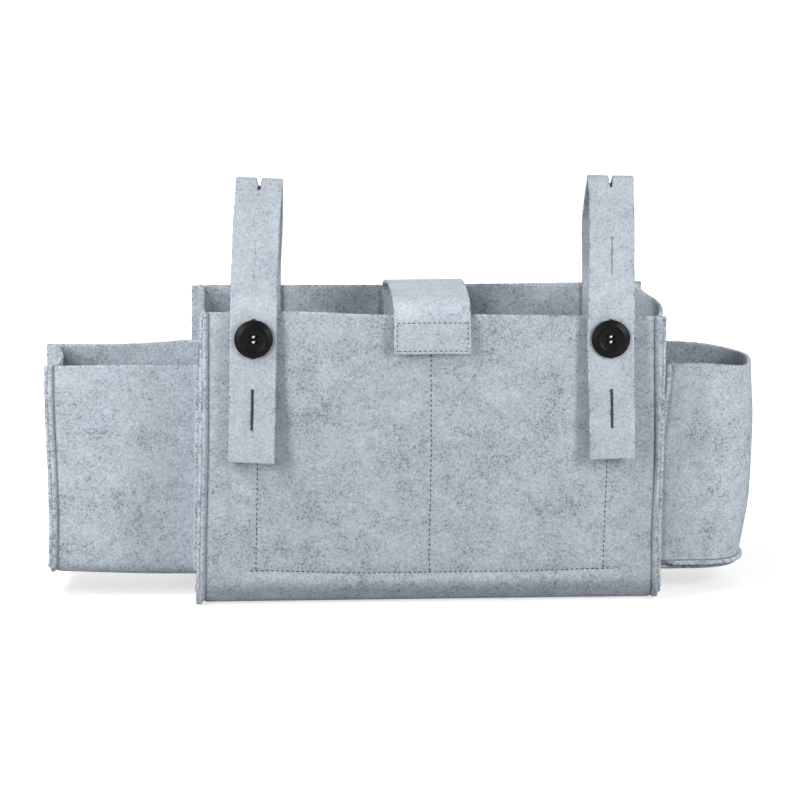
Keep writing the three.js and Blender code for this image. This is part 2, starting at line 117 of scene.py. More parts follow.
# Painted shade: the front of the one felt sheet that wraps the body is darkened against its own colour.
BODY_FRONT_PAINTED_SHADE = 0.088

RIM_FRAY = 0.1 * MM
FIN_FRAY = 0.34 * MM

ARC_POINTS = 40


def from_screen(red, green, blue):
    """Linear colour of a screen colour given in 0 to 255, by the sRGB curve."""
    c = np.array([red, green, blue]) / 255
    return tuple(np.where(c <= 0.04045, c / 12.92, ((c + 0.055) / 1.055) ** 2.4))


def length_property(name, description, millimetres):
    """A length in metres with its default given in millimetres."""
    return FloatProperty(
        name=name, description=description, default=millimetres * MM, unit="LENGTH", precision=5
    )


def colour_property(name, description, screen):
    """A linear colour with its default given as a screen colour."""
    return FloatVectorProperty(
        name=name, description=description, default=from_screen(*screen), subtype="COLOR",
        size=3, min=0, max=1,
    )


def amount_property(name, description, default):
    """A plain number."""
    return FloatProperty(name=name, description=description, default=default)


def angle_property(name, description, degrees):
    """An angle in radians with its default given in degrees."""
    return FloatProperty(
        name=name, description=description, default=np.radians(degrees), subtype="ANGLE"
    )


class CaddySizes(bpy.types.PropertyGroup):
    """Sizes of the felt and of the sewing."""

    felt: length_property("Felt thickness", "Thickness of every felt sheet", 3)
    lip: length_property("Edge roundness", "Radius on the cut edges of the felt", 0.8)
    grid: length_property("Grid step", "Spacing of the points on the large felt sheets", 2.4)
    wave: length_property("Wave height", "Height of the slow waves in the felt walls", 0.55)
    stitch_pitch: length_property("Stitch pitch", "Distance from one stitch to the next", 3.7)
    stitch_length: length_property("Stitch length", "Length of a stitch that shows", 2.2)
    stitch_radius: length_property("Stitch radius", "Radius of the sewing thread", 0.34)
    tape: length_property("Tape thickness", "Thickness of the hook and loop tapes", 1.2)


class CaddyFinish(bpy.types.PropertyGroup):
    """Colours of the felt, threads, buttons and tapes."""

    pale: colour_property("Pale felt", "Light wool in the felt", (207, 216, 223))
    deep: colour_property("Deep felt", "Blue-grey wool in the felt", (159, 169, 179))
    lilac: colour_property("Lilac tint", "Warm tint of the felt's clouds", (255, 252, 254))
    fleck: colour_property("Flecks", "Dark fibres in the felt", (104, 110, 122))
    sewing: colour_property("Sewing thread", "Thread of the seams", (60, 64, 72))
    button: colour_property("Button", "Moulded button plastic", (8, 8, 9))
    button_thread: colour_property("Button thread", "Thread that holds the buttons", (236, 237, 238))
    tape: colour_property("Tape", "Hook and loop tape", (150, 157, 167))


class CaddyStudio(bpy.types.PropertyGroup):
    """Camera and light."""

    azimuth: angle_property("Azimuth", "Camera angle round the caddy", -4.78)
    elevation: angle_property("Elevation", "Camera angle above the floor", 13.03)
    roll: angle_property("Roll", "Turn of the camera about its own axis", 0.468)
    distance: length_property("Distance", "Camera distance", 5000)
    lens: amount_property("Lens", "Focal length in millimetres on a 36 mm sensor", 308.7)
    left: amount_property("Left light", "Power of the soft light on the left", 1.85)
    right: amount_property("Right light", "Power of the soft light on the right", 2.42)
    top: amount_property("Top light", "Power of the light from above", 8.5)
    back: amount_property("Back light", "Power of the soft light behind the caddy", 2.6)
    ambient: amount_property("Ambient light", "Strength of the light from all round", 0.29)
    floor_glow: amount_property("Floor glow", "Light that the floor adds for the camera", 0.66)


def felt_sizes():
    """The scene's sizes of the felt and of the sewing."""
    return bpy.context.scene.caddy_sizes


# Numbers and curves


def unit(v):
    """Vectors divided by their lengths along the last axis."""
    return v / np.maximum(np.linalg.norm(v, axis=-1, keepdims=True), 1e-12)


def ease(t):
    """Smooth step from 0 to 1: 3t^2 - 2t^3 with t held between 0 and 1."""
    t = np.clip(t, 0, 1)
    return t * t * (3 - 2 * t)


def ramp(value, start, end):
    """Smooth step of a value from 0 at start to 1 at end."""
    return ease((value - start) / (end - start))


def kink(d, softness=FOLD_SOFTNESS):
    """Distance past a fold, rounded at the fold: (d + sqrt(d^2 + s^2)) / 2."""
    return (d + np.sqrt(d * d + softness * softness)) / 2


def ridge(d, width):
    """Bell curve of a distance: exp(-(d / w)^2)."""
    return np.exp(-((d / width) ** 2))


def waves(table, across, up):
    """Sum of slow sine waves: a sin(m across + n up + phase) for each row of a table."""
    return sum(a * np.sin(m * across + n * up + phase) for a, m, n, phase in table)


AVERAGED_OVER = np.linspace(-10, 10, 9) * MM


def smooth_curve(at, places, values):
    """Curve through values at places: straight from each one to the next, then averaged over 20 mm."""
    return np.mean([np.interp(at + step, places, values) for step in AVERAGED_OVER], axis=0)


def run_length(points):
    """Distance along a line of points, from 0 at its first one."""
    return np.r_[0, np.cumsum(np.linalg.norm(np.diff(points, axis=0), axis=1))]


def cells(length, step):
    """Number of cells of about one step in a length."""
    return int(round(length / step))


def read_off(at, run, rows):
    """Rows of numbers at distances along a run, by linear interpolation."""
    return np.stack([np.interp(at, run, column) for column in rows.T], axis=1)


def even_points(points, count):
    """A line cut into equal lengths."""
    run = run_length(points)
    return read_off(np.linspace(0, run[-1], count), run, points)


def rounded_line(corners, radii, step):
    """Even points along straight runs that arcs join.

    A corner of turn a and radius r becomes the arc that leaves the first run at r tan(a / 2)
    before the corner: start + r (sin t along the run + (1 - cos t) across it).
    """
    corners = np.asarray(corners, float)
    parts = [corners[:1]]
    for before, corner, after, radius in zip(corners, corners[1:], corners[2:], radii):
        a = unit(corner - before)
        b = unit(after - corner)
        turn = np.arctan2(a[0] * b[1] - a[1] * b[0], a @ b)
        start = corner - a * radius * np.tan(abs(turn) / 2)
        across = np.sign(turn) * np.array([-a[1], a[0]])
        t = np.linspace(0, abs(turn), ARC_POINTS)[:, None]
        parts.append(start + radius * (np.sin(t) * a + (1 - np.cos(t)) * across))
    parts.append(corners[-1:])
    line = np.vstack(parts)
    return even_points(line, int(np.ceil(run_length(line)[-1] / step)) + 1)


# Pulls in the soft walls: millimetres to the right and upwards, then the ranges in x, y and z over
# which each pull grows from nothing to its whole.
ANYWHERE = (-1000, -999)
PULLS = (
    (3.0, 0, (-90, -160), (-15, 45), ANYWHERE),
    (3.5, 0, (-90, -160), (-15, 45), (150, 10)),
    (-3.9, 0, (-200, -260), (5, -24), (40, 176)),
    (-7.0, 0, (120, 160), (-25, 48), (60, 200)),
    (5.8, 0, (172, 225), (-25, 45), (60, 172)),
    (0, 3.2, (-23, -118), (-36, -50), (90, 215)),
    (0, -3.0, (0, 162), (-36, -50), (90, 215)),
    (1.6, 0, (150, 162), (-45, -52), (40, 120)),
    (0, -0.9, (-125, -95), (20, 46), (110, 215)),
    (0, 1.9, (118, 158), (20, 46), (110, 215)),
    (0, -1.0, (164.5, 166), (20, 46), (110, 215)),
    (0, -0.4, (-166, -164), (20, 46), (110, 215)),
    (2.3, 0, (162.5, 166), (-45, -54), (110, 215)),
    (0, -2.6, (-165.2, -167), (-8, -23), (60, 176)),
    (0, -1.8, (-210, -265), (10, 44), (60, 176)),
    (0, -1.9, (-265, -225), (10, 44), (60, 176)),
    (0, 2.6, (-215, -168), (10, 44), (60, 176)),
    (0, -0.7, (-166, -164.5), (10, 44), (60, 176)),
    (0, -1.3, (-164.5, -166), (10, 44), (60, 176)),
    (0, -5.2, (-330, -175), ANYWHERE, (70, 26)),
    (0, 5.2, (-166, -164.5), ANYWHERE, (70, 26)),
    (0, 1.4, (200, 168), (10, 44), (60, 172)),
    (0, -1.3, (166, 175), (0, -22), (60, 172)),
    (0, -4.5, (200, 237), (20, -12), (60, 172)),
    (0, -4.5, (193, 240), (-20, 5), (60, 172)),
    (3.5, 0, (195, 232), ANYWHERE, (20, 70)),
    (-1.8, 0, (195, 232), ANYWHERE, (125, 170)),
    (0, -1.5, (166, 170), ANYWHERE, (60, 24)),
    (0, -1.0, (200, 230), ANYWHERE, (60, 24)),
)

BASE_SPREAD = 0.007
SHIFT_RIGHT = 0.6 * MM
WAVE_FADE = 60 * MM
WALL_WAVES = ((1.0, 31, 17, 0.8), (0.7, 58, -36, 2.1))
END_WAVES = ((0.7, 49, 33, 0.4),)


def settle(points, pulls=True):
    """How the soft caddy sits: its points moved by a few tenths of a millimetre to a few millimetres.

    The body is a little wider at its base than at its rim, each pull moves a corner or a rim by its
    amount times a smooth step in x, y and z, and slow sine waves run through the walls.
    """
    x, y, z = np.moveaxis(np.asarray(points, float), -1, 0)
    lift = np.clip(z / BODY_TOP, 0, 1.2)
    dx = np.clip(x, -BODY_SEAM, BODY_SEAM) * BASE_SPREAD * (1 - 2 * lift) + SHIFT_RIGHT
    dz = np.zeros_like(x)
    for sideways, upwards, *ramps in PULLS if pulls else ():
        amount = np.ones_like(x)
        for at, (start, end) in zip((x, y, z), ramps):
            amount = amount * ramp(at / MM, start, end)
        dx = dx + sideways * MM * amount
        dz = dz + upwards * MM * amount
    wave = felt_sizes().wave * ease(z / WAVE_FADE)
    dx = dx + wave * waves(END_WAVES, y, z)
    dy = wave * waves(WALL_WAVES, x, z)
    return np.stack([x + dx, y + dy, z + dz], axis=-1)


# Meshes


def grid_quads(rows, columns):
    """Corner numbers of the cells of a grid of points that is stored row by row."""
    first = (np.arange(rows - 1)[:, None] * columns + np.arange(columns - 1)).ravel()
    return np.stack([first, first + 1, first + columns + 1, first + columns], axis=1)


def point_normals(points, quads):
    """Normals at the points: the sum of the crossed diagonals of the cells round each point."""
    a, b, c, d = points[quads.T]
    across = np.cross(c - a, d - b)
    total = np.zeros_like(points)
    for corner in quads.T:
        for axis in range(3):
            total[:, axis] += np.bincount(corner, across[:, axis], len(points))
    return unit(total)


def mesh_object(name, points, faces, material, values=None):
    """A smooth object at the origin, with named point attributes."""
    mesh = bpy.data.meshes.new(name)
    mesh.from_pydata(points.tolist(), [], faces, shade_flat=False)
    for label, value in (values or {}).items():
        kind = "FLOAT_VECTOR" if value.ndim == 2 else "FLOAT"
        field = "vector" if value.ndim == 2 else "value"
        attribute = mesh.attributes.new(label, kind, "POINT")
        attribute.data.foreach_set(field, value.astype(np.float32).ravel())
    mesh.materials.append(material)
    piece = bpy.data.objects.new(name, mesh)
    bpy.context.scene.collection.objects.link(piece)
    return piece


def fray(number, turn):
    """Uneven values from -1 to 1 for the points of a cut edge, from the sines of their numbers."""
    spread = np.sin(number * 12.9898 + turn * 4.1414) * 43758.5453
    return 2 * (spread - np.floor(spread)) - 1


# The cut edge of a skin: four rings round it, two on each side of the middle, and half of the face's tone.
RIM_ANGLES = np.radians([45, 0, 0, -45])[:, None]
RIM_SIDES = np.array([1, 1, -1, -1])[:, None]
RIM_TONE = 0.5


def thicken(sheet, thickness, lip):
    """Closed skin round a middle surface, with round edges where the surface ends.

    A point of the faces is middle +- normal t / 2. Along an open edge the faces end one lip inside
    the edge, and the skin goes round with lift t / 2 - lip + lip sin a and reach lip cos a - lip.
    """
    points, quads = sheet.points, sheet.quads
    normals = point_normals(points, quads)
    starts = quads.ravel()
    ends = np.roll(quads, -1, axis=1).ravel()
    count = len(points)
    open_edge = ~np.isin(starts * count + ends, ends * count + starts)
    a, b = starts[open_edge], ends[open_edge]
    along = unit(points[b] - points[a])
    outward = np.cross(along, unit(normals[a] + normals[b]))
    reach = np.zeros_like(points)
    for corner in (a, b):
        np.add.at(reach, corner, outward)
    reach = unit(reach)
    rim = np.unique(np.r_[a, b])
    place = np.full(count, -1)
    place[rim] = np.arange(len(rim))
    half = thickness / 2
    lips = lip * sheet.lip[rim]
    inset = np.zeros((count, 1))
    inset[rim, 0] = lips
    faces_at = points - reach * inset
    lifts = RIM_SIDES * (half - lips) + lips * np.sin(RIM_ANGLES)
    reaches = lips * np.cos(RIM_ANGLES) - lips
    skins = [faces_at + normals * half, faces_at - normals * half]
    for turn, (lift, out) in enumerate(zip(lifts, reaches)):
        out = out + fray(rim, turn) * sheet.fray[rim]
        skins.append(points[rim] + normals[rim] * lift[:, None] + reach[rim] * out[:, None])
    rings = len(lifts)
    ring = 2 * count + np.arange(rings)[:, None] * len(rim) + np.arange(len(rim))
    rows = [rim, *ring, count + rim]
    walls = [
        np.stack([low[place[a]], low[place[b]], high[place[b]], high[place[a]]], axis=1)
        for high, low in zip(rows, rows[1:])
    ]
    faces = np.vstack([quads, quads[:, ::-1] + count, *walls])
    depths = np.concatenate([np.full(count, half), np.full(count, -half), *lifts])
    flats = np.vstack([sheet.flat, sheet.flat] + [sheet.flat[rim]] * rings)
    tones = np.concatenate([sheet.tone, sheet.tone] + [sheet.tone[rim] * RIM_TONE] * rings)
    edges = np.r_[np.full(2 * count, sheet.contrast), np.ones(rings * len(rim))]
    flat = np.column_stack([flats + sheet.shift, depths])
    return np.vstack(skins), faces, {"flat": flat, "tone": tones, "edge": edges}


def sheet_of(points, quads, flat, tone=None):
    """A middle surface: points, cells, places in the flat pattern, and how much darker each point's colour
    is painted, as painted shade and light.

    It also holds the fray and the share of the lip's radius along its cut edges, a shift of its
    pattern, and the contrast of its faces.
    """
    points = np.asarray(points, float).reshape(-1, 3)
    flat = np.asarray(flat, float).reshape(-1, 2)
    count = len(points)
    tone = np.zeros(count) if tone is None else np.asarray(tone, float).ravel()
    return SimpleNamespace(
        points=points, quads=quads, flat=flat, tone=tone, fray=np.full(count, RIM_FRAY),
        lip=np.ones(count), shift=np.zeros(2), contrast=0.0,
    )


PATTERN_SHIFT = np.array([0.137, 0.0173])


def felt_piece(name, sheet, nodes, body=None, pulls=True):
    """A felt sheet as a closed object that stands for CAD nodes and hides them.

    The letters of its name shift its pattern, so that no two pieces show the same wool.
    """
    sizes = felt_sizes()
    sheet.points = settle(sheet.points, pulls)
    sheet.points[:, 2] = np.maximum(sheet.points[:, 2], sizes.felt / 2)
    sheet.shift = np.array([len(name), sum(map(ord, name))]) * PATTERN_SHIFT
    points, faces, values = thicken(sheet, sizes.felt, sizes.lip)
    piece = mesh_object(name, points, faces.tolist(), felt_material("mottled_felt"), values)
    if body:
        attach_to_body(piece, body)
    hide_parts(*nodes)
    return piece


# Folded sheets and the panels that are sewn into them


# How far a fold has to face the front or the back for its fin to begin and to be whole.
FRONT_FIN_FACING = (0.25, 0.7)
BACK_FIN_FACING = (0.5, 0.9)
BEND_CELLS = 9


def sling_stations(front, back, base, top, bend):
    """Seam line of a sheet that is folded under a pocket: down the front, under, and up the back.

    The front half is a straight run and a quarter circle, and the back half is its mirror image, so
    that stations pair up by height.
    """
    step = felt_sizes().grid
    quarter = max(cells(bend * np.pi / 2, step), BEND_CELLS)
    under = cells(back - front - 2 * bend, step)
    z = np.linspace(top, base + bend, cells(top - base - bend, step) + 1)
    a = np.linspace(0, np.pi / 2, quarter + 1)[1:]
    arc = np.column_stack([front + bend - bend * np.cos(a), base + bend - bend * np.sin(a)])
    half = np.vstack([np.column_stack([np.full_like(z, front), z]), arc])
    half_out = np.vstack([np.tile([-1.0, 0.0], (len(z), 1)), np.column_stack([-np.cos(a), -np.sin(a)])])
    floor_y = np.linspace(front + bend, back - bend, under + 1)[1:-1]
    floor = np.column_stack([floor_y, np.full_like(floor_y, base)])
    mirror = np.array([-1, 1])
    other = half[::-1] * mirror + np.array([front + back, 0])
    p = np.vstack([half, floor, other])
    out = np.vstack([half_out, np.tile([0.0, -1.0], (len(floor), 1)), half_out[::-1] * mirror])
    share = np.maximum(0, -out[:, 0])
    front_reach = FRONT_FIN * ramp(share, *FRONT_FIN_FACING)
    back_reach = BACK_FIN * ramp(out[:, 0], *BACK_FIN_FACING)
    return SimpleNamespace(
        p=p, out=out, half=len(half), under=under, top=top, share=share, along=run_length(p),
        turn=FIN_TURN * share, reach=BASE_FIN + np.maximum(front_reach, back_reach),
    )


def ply_step():
    """Distance between the middles of two plies that are sewn together."""
    return felt_sizes().felt + PLY_GAP


def seam_shift():
    """How far a panel's plate stands outside the seam line: ply step times sin 45."""
    return ply_step() * np.sin(FIN_TURN)


def fin_length(stations):
    """Length of the outer ply of a fin, so that both plies end level."""
    lead = np.cos(stations.turn) * (seam_shift() - ply_step() * np.sin(stations.turn))
    return stations.reach + lead


def folded_sheet(stations, left, right):
    """Sheet between two folds, each a namespace with x, turn, length and sewn.

    With c the flat distance across and k the rounded distance past a fold of turn a, a point is at
    x = c + (cos a - 1) k and stands sin a k outwards. A sewn fold is pulled in along its crease.
    """
    inner = np.linspace(left.x, right.x, cells(right.x - left.x, felt_sizes().grid) + 1)
    rows = len(stations.p)
    c = np.hstack([
        left.x - left.length[:, None] * FIN_CUTS[::-1],
        np.tile(inner, (rows, 1)),
        right.x + right.length[:, None] * FIN_CUTS,
    ])
    past_left, past_right = left.x - c, c - right.x
    turn_left, turn_right = left.turn[:, None], right.turn[:, None]
    x = c + (np.cos(turn_right) - 1) * kink(past_right) - (np.cos(turn_left) - 1) * kink(past_left)
    stand = np.sin(turn_right) * kink(past_right) + np.sin(turn_left) * kink(past_left)
    crease = left.sewn * ridge(past_left, CREASE_WIDTH) + right.sewn * ridge(past_right, CREASE_WIDTH)
    stand = stand - CREASE_DEPTH * crease
    yz = stations.p[:, None, :] + stations.out[:, None, :] * stand[:, :, None]
    points = np.concatenate([x[:, :, None], yz], axis=2)
    along = np.tile(stations.along[:, None], (1, c.shape[1]))
    # Painted shade in the sewn crease, strongest where the fold faces the front.
    tone = CREASE_PAINTED_SHADE * crease * stations.share[:, None]
    sheet = sheet_of(points, grid_quads(*c.shape), np.stack([c, along], axis=2), tone)
    on_fin = (np.maximum(past_left, past_right) > CREASE_WIDTH).ravel()
    sheet.fray[on_fin] = FIN_FRAY
    return sheet


def sewn_edge(stations, x):
    """A fold whose outer part is a seam fin."""
    return SimpleNamespace(x=x, turn=stations.turn, length=fin_length(stations), sewn=1.0)


def flange_edge(stations, x):
    """A right fold that turns forward into a flange on the body's side along the front only."""
    half = felt_sizes().felt / 2
    forward = stations.share**3
    return SimpleNamespace(x=x - half, turn=np.pi / 2 * forward, length=half + FLANGE * forward, sewn=0.0)


def end_panel(stations, seam_x, side, bow, bow_base, skew):
    """Panel that closes the end of a folded sheet: a plate and, along its three sewn edges, a fin.

    Plate rows run between front and back stations of the same height. The plate bows sideways by
    bow sin(pi u^k) r^2, where u goes from front to back, r from the bow's base to the rim, and the
    skew k moves the widest place forward.
    """
    x0 = seam_x + side * seam_shift()
    inward = ply_step() * np.cos(stations.turn)
    edge = stations.p - stations.out * inward[:, None]
    n, columns = stations.half, stations.under + 1
    u = np.linspace(0, 1, columns)[None, :, None]
    yz = edge[:n][::-1][:, None] * (1 - u) + edge[-n:][:, None] * u
    rise = np.clip((yz[:, :, 1] - bow_base) / (stations.top - bow_base), 0, 1)
    x = x0 + side * bow * np.sin(np.pi * u[:, :, 0] ** skew) * rise**2
    plate = np.concatenate([x[:, :, None], yz], axis=2).reshape(-1, 3)
    rows = np.arange(n)
    rim = np.r_[rows[::-1] * columns, np.arange(1, columns - 1), rows * columns + columns - 1]
    along_x = side * np.cos(stations.turn)
    ahead = np.column_stack([along_x, stations.out * np.sin(stations.turn)[:, None]])
    far = stations.reach[:, None] * FIN_CUTS[1:]
    fin = plate[rim][:, None] + ahead[:, None] * far[:, :, None]
    fin_flat = plate[rim, 1:][:, None] + stations.out[:, None] * far[:, :, None]
    cuts = far.shape[1]
    numbers = np.hstack([rim[:, None], len(plate) + np.arange(len(rim) * cuts).reshape(-1, cuts)])
    strip = np.stack([numbers[1:, :-1], numbers[:-1, :-1], numbers[:-1, 1:], numbers[1:, 1:]], axis=2)
    quads = np.vstack([grid_quads(n, columns), strip.reshape(-1, 4)])
    points = np.vstack([plate, fin.reshape(-1, 3)])
    flat = np.vstack([plate[:, 1:], fin_flat.reshape(-1, 2)])
    sheet = sheet_of(points, quads, flat)
    sheet.fray[len(plate):] = FIN_FRAY
    return sheet


def body_stations():
    """Seam line of the main compartment."""
    return sling_stations(BODY_FRONT, BODY_BACK, BODY_BASE, BODY_TOP, BODY_BEND)


def left_stations():
    """Seam line of the left pocket."""
    return sling_stations(POCKET_FRONT, POCKET_BACK, LEFT_BASE, LEFT_TOP, LEFT_BEND)


# Relief and painted shade and light of the main sheet. A tone is how much darker the felt's colour is
# painted at a place, and negative is painted lighter.
# A pair is the range over which a change grows from nothing to its whole.
UPRIGHT_WIDTH = 2.4 * MM
UPRIGHT_DEPTH = 0.4
LEVEL_WIDTH = 2.6 * MM
LEVEL_PAINTED_SHADE = 0.1
LEVEL_TONE_WIDTH = 2 * MM
ROLL_BELOW = 8 * MM
ROLL_WIDTH = 6 * MM
ROLL_OUT = 1.1 * MM
HEM_PAINTED_SHADE = 0.12
LOWEST_PAINTED_LIGHT = -0.38
RIGHT_END_PAINTED_SHADE = 0.11
BACK_PAINTED_LIGHT = -0.05
BACK_RIGHT_PAINTED_SHADE = 0.12
TURN_DEPTH = 10 * MM
PRESSED_BELOW = 6 * MM
UPRIGHT_FADE = 6 * MM
PAST_HEM = np.array([12, 4]) * MM
HEM_DEPTH = 8 * MM
LOWEST = np.array([12, 2]) * MM
RIGHT_END = np.array([128, 164]) * MM
BACK_RIGHT = np.array([-30, 30]) * MM


def main_sheet():
    """Front, base and back in one sheet. Stitches press lines into the front, and the hem rolls out."""
    stations = body_stations()
    sheet = folded_sheet(stations, sewn_edge(stations, -BODY_SEAM), sewn_edge(stations, BODY_SEAM))
    x, y, z = sheet.points.T
    on_front = (y < 0) & (z > SLIP_BASE - PRESSED_BELOW)
    climb = np.clip((z - SLIP_BASE) / (SLIP_TOP - SLIP_BASE), 0, 1)
    upright = sum(ridge(x - low - (high - low) * climb, UPRIGHT_WIDTH) for low, high in UPRIGHT_ROWS)
    upright = upright * ramp(z, SLIP_TOP, SLIP_TOP - UPRIGHT_FADE)
    between_hems = ramp(np.abs(x) - SLIP_SEAM, *PAST_HEM)
    below = z - level_row(x)
    level = ridge(below, LEVEL_WIDTH) * between_hems
    pressed = np.maximum(UPRIGHT_DEPTH * upright, level) * on_front
    rolled = ridge(below + ROLL_BELOW, ROLL_WIDTH) * between_hems * (y < 0)
    sheet.points[:, 1] += PRESSED * pressed - ROLL_OUT * rolled
    # Painted shade darkens the front below the hem, more towards the bottom, and painted light lightens its
    # lowest band, where the floor's bounce falls.
    hem = HEM_PAINTED_SHADE * ramp(z, SLIP_BASE, SLIP_BASE - HEM_DEPTH)
    lowest = LOWEST_PAINTED_LIGHT * ramp(z, *LOWEST)
    # Painted shade darkens the front towards its right end, where the wall turns away from the light.
    right_end = RIGHT_END_PAINTED_SHADE * ramp(x, *RIGHT_END)
    sheet.tone += BODY_FRONT_PAINTED_SHADE * (y < 0) + (hem + lowest + right_end) * ramp(y, 0, -TURN_DEPTH)
    # Painted shade along the crease of the level row of stitches.
    sheet.tone += LEVEL_PAINTED_SHADE * ridge(below, LEVEL_TONE_WIDTH) * between_hems * on_front
    # Painted light lightens the back of the sheet, and painted shade darkens its right half, as seen inside
    # the compartment.
    back = BACK_PAINTED_LIGHT + BACK_RIGHT_PAINTED_SHADE * ramp(x, *BACK_RIGHT)
    sheet.tone += back * ramp(y, 0, TURN_DEPTH)
    return sheet


LEVEL_HEIGHT = 2 * MM
LEVEL_RISE_LEFT = 2.6 * MM
LEVEL_RISE_RIGHT = 1.2 * MM
LEVEL_LEFT = np.array([-40, -126]) * MM
LEVEL_RIGHT = np.array([60, 126]) * MM


def level_row(x):
    """Height of the level row of stitches, which rises a little towards both ends."""
    left = LEVEL_RISE_LEFT * ramp(x, *LEVEL_LEFT)
    right = LEVEL_RISE_RIGHT * ramp(x, *LEVEL_RIGHT)
    return SLIP_BASE + LEVEL_HEIGHT + left + right


def slip_sheet():
    """Slip pocket inside the front: flat at its hems and middle seam, with a belly between.

    The belly is b sin(pi |x| / w) sin(pi v / 2), where v goes from the base to the rim.
    """
    step = felt_sizes().grid
    x = np.linspace(-SLIP_HALF, SLIP_HALF, cells(2 * SLIP_HALF, step) + 1)
    z = np.linspace(SLIP_BASE, SLIP_TOP, cells(SLIP_TOP - SLIP_BASE, step) + 1)
    xx, zz = np.meshgrid(x, z)
    v = (zz - SLIP_BASE) / (SLIP_TOP - SLIP_BASE)
    inside = np.minimum(1, np.abs(xx) / SLIP_SEAM)
    belly = SLIP_BELLY * np.sin(np.pi * inside) * np.sin(np.pi / 2 * v)
    points = np.stack([xx, SLIP_Y + belly, zz], axis=2)
    return sheet_of(points, grid_quads(*xx.shape), np.stack([xx, zz], axis=2))


PLAN_STEP = 2.2 * MM
FLANGE_BEND = 4 * MM


def bottle_plan():
    """Plan of the bottle pocket's middle: forward flange, front, half circle and back."""
    radius = (POCKET_BACK - POCKET_FRONT) / 2
    half = felt_sizes().felt / 2
    corners = [
        (POCKET_END + half, POCKET_FRONT - FLANGE),
        (POCKET_END + half, POCKET_FRONT),
        (BOTTLE_FAR - half, POCKET_FRONT),
        (BOTTLE_FAR - half, POCKET_BACK),
        (POCKET_END, POCKET_BACK),
    ]
    return rounded_line(corners, [FLANGE_BEND, radius, radius], PLAN_STEP)


# How the bottle pocket's wall hangs, and its painted shade and light. A pair is a range, as for the main
# sheet.
FOOT_SOFTNESS = 1.2 * MM
CLEAR_OF_BODY = np.array([5, 14]) * MM
CLEAR_OF_BACK = 4 * MM
FOOT_LEAST = 0.22
LOOSE_LOW = 1.4 * MM
LOOSE_HIGH = 7.0 * MM
LOOSE_POWER = 1.6
LOOSE_FROM = 80 * MM
LOOSE_BY_BODY = np.array([35, 9]) * MM
FOOT_LINE_ABOVE = 0.4 * MM
FOOT_LINE_WIDTH = 0.9 * MM
FLANGE_LINE_AT = 9.8 * MM
FLANGE_LINE_WIDTH = 2 * MM
SHADE_BY_BODY = np.array([36, 12]) * MM
SHADE_AT_BACK = np.array([5, 30]) * MM
SHADE_BELOW = np.array([50, 110]) * MM
SHADE_BELOW_END = 10 * MM
BOTTLE_TONE = -0.04
BOTTLE_PAINTED_LIGHT_AND_SHADE = {"foot": 0.22, "flange": 0.42, "by_body": 0.13, "back": 0.36, "low": -0.06}


def bottle_wall():
    """Bottle pocket's wall, which leans in towards its base and turns out there into a sewn foot.

    Down the wall, s is the distance from the rim and k the rounded distance past the foot's fold, so
    that z = top - s + k, and the plan grows by k. Near the base the sewing pulls the round end in, and
    by the body the wall stands off loosely towards its rim.
    """
    plan = bottle_plan()
    tangent = unit(np.gradient(plan, axis=0))
    outward = np.column_stack([tangent[:, 1], -tangent[:, 0]])
    run = run_length(plan)
    plan_x, plan_y = plan.T
    drop = BOTTLE_TOP - BOTTLE_FOOT
    down = np.linspace(0, drop, cells(drop, felt_sizes().grid) + 1)
    s = np.r_[down, drop + BOTTLE_FLANGE * FIN_CUTS]
    past = kink(s - drop, FOOT_SOFTNESS)
    z = BOTTLE_TOP - s + past
    toward_end = np.clip((plan_x - POCKET_END) / (BOTTLE_FAR - POCKET_END), 0, 1)
    lean = BOTTLE_TAPER * (np.minimum(s, drop) / drop) ** 3
    clear = ramp(plan_x - POCKET_END, *CLEAR_OF_BODY)
    clear = clear * ramp(plan_y, POCKET_BACK, POCKET_BACK - CLEAR_OF_BACK)
    grow = past[:, None] * (FOOT_LEAST + (1 - FOOT_LEAST) * clear)
    loose = LOOSE_LOW + LOOSE_HIGH * ramp(z, LOOSE_FROM, BOTTLE_TOP) ** LOOSE_POWER
    by_body = ramp(run, *LOOSE_BY_BODY)
    x = plan_x - lean[:, None] * toward_end**2 + outward[:, 0] * grow + loose[:, None] * by_body
    y = plan_y + outward[:, 1] * grow
    points = np.stack([x, y, np.tile(z[:, None], (1, len(plan)))], axis=2)
    flat = np.stack(np.meshgrid(run, s), axis=2)
    # Painted shade in the foot's crease, in the corner between flange and wall, next to the body and on the
    # back half for the shade inside; painted light on the lower front.
    shades = {
        "foot": ridge(s - drop + FOOT_LINE_ABOVE, FOOT_LINE_WIDTH)[:, None] * clear,
        "flange": ridge(run - FLANGE_LINE_AT, FLANGE_LINE_WIDTH),
        "by_body": ramp(run, *SHADE_BY_BODY),
        "back": ramp(plan_y, *SHADE_AT_BACK),
        "low": ramp(s, *SHADE_BELOW)[:, None] * (plan_y < SHADE_BELOW_END),
    }
    tone = BOTTLE_TONE + sum(BOTTLE_PAINTED_LIGHT_AND_SHADE[label] * shade for label, shade in shades.items())
    return sheet_of(points, grid_quads(*x.shape), flat, tone)


BASE_INSET = 3.4 * MM
# Painted shade: the base is darkened as if in shadow under the flange.
BASE_PAINTED_SHADE = 0.3
STRAIGHT_POINTS = 14
ROUND_POINTS = 26
ACROSS_POINTS = 30


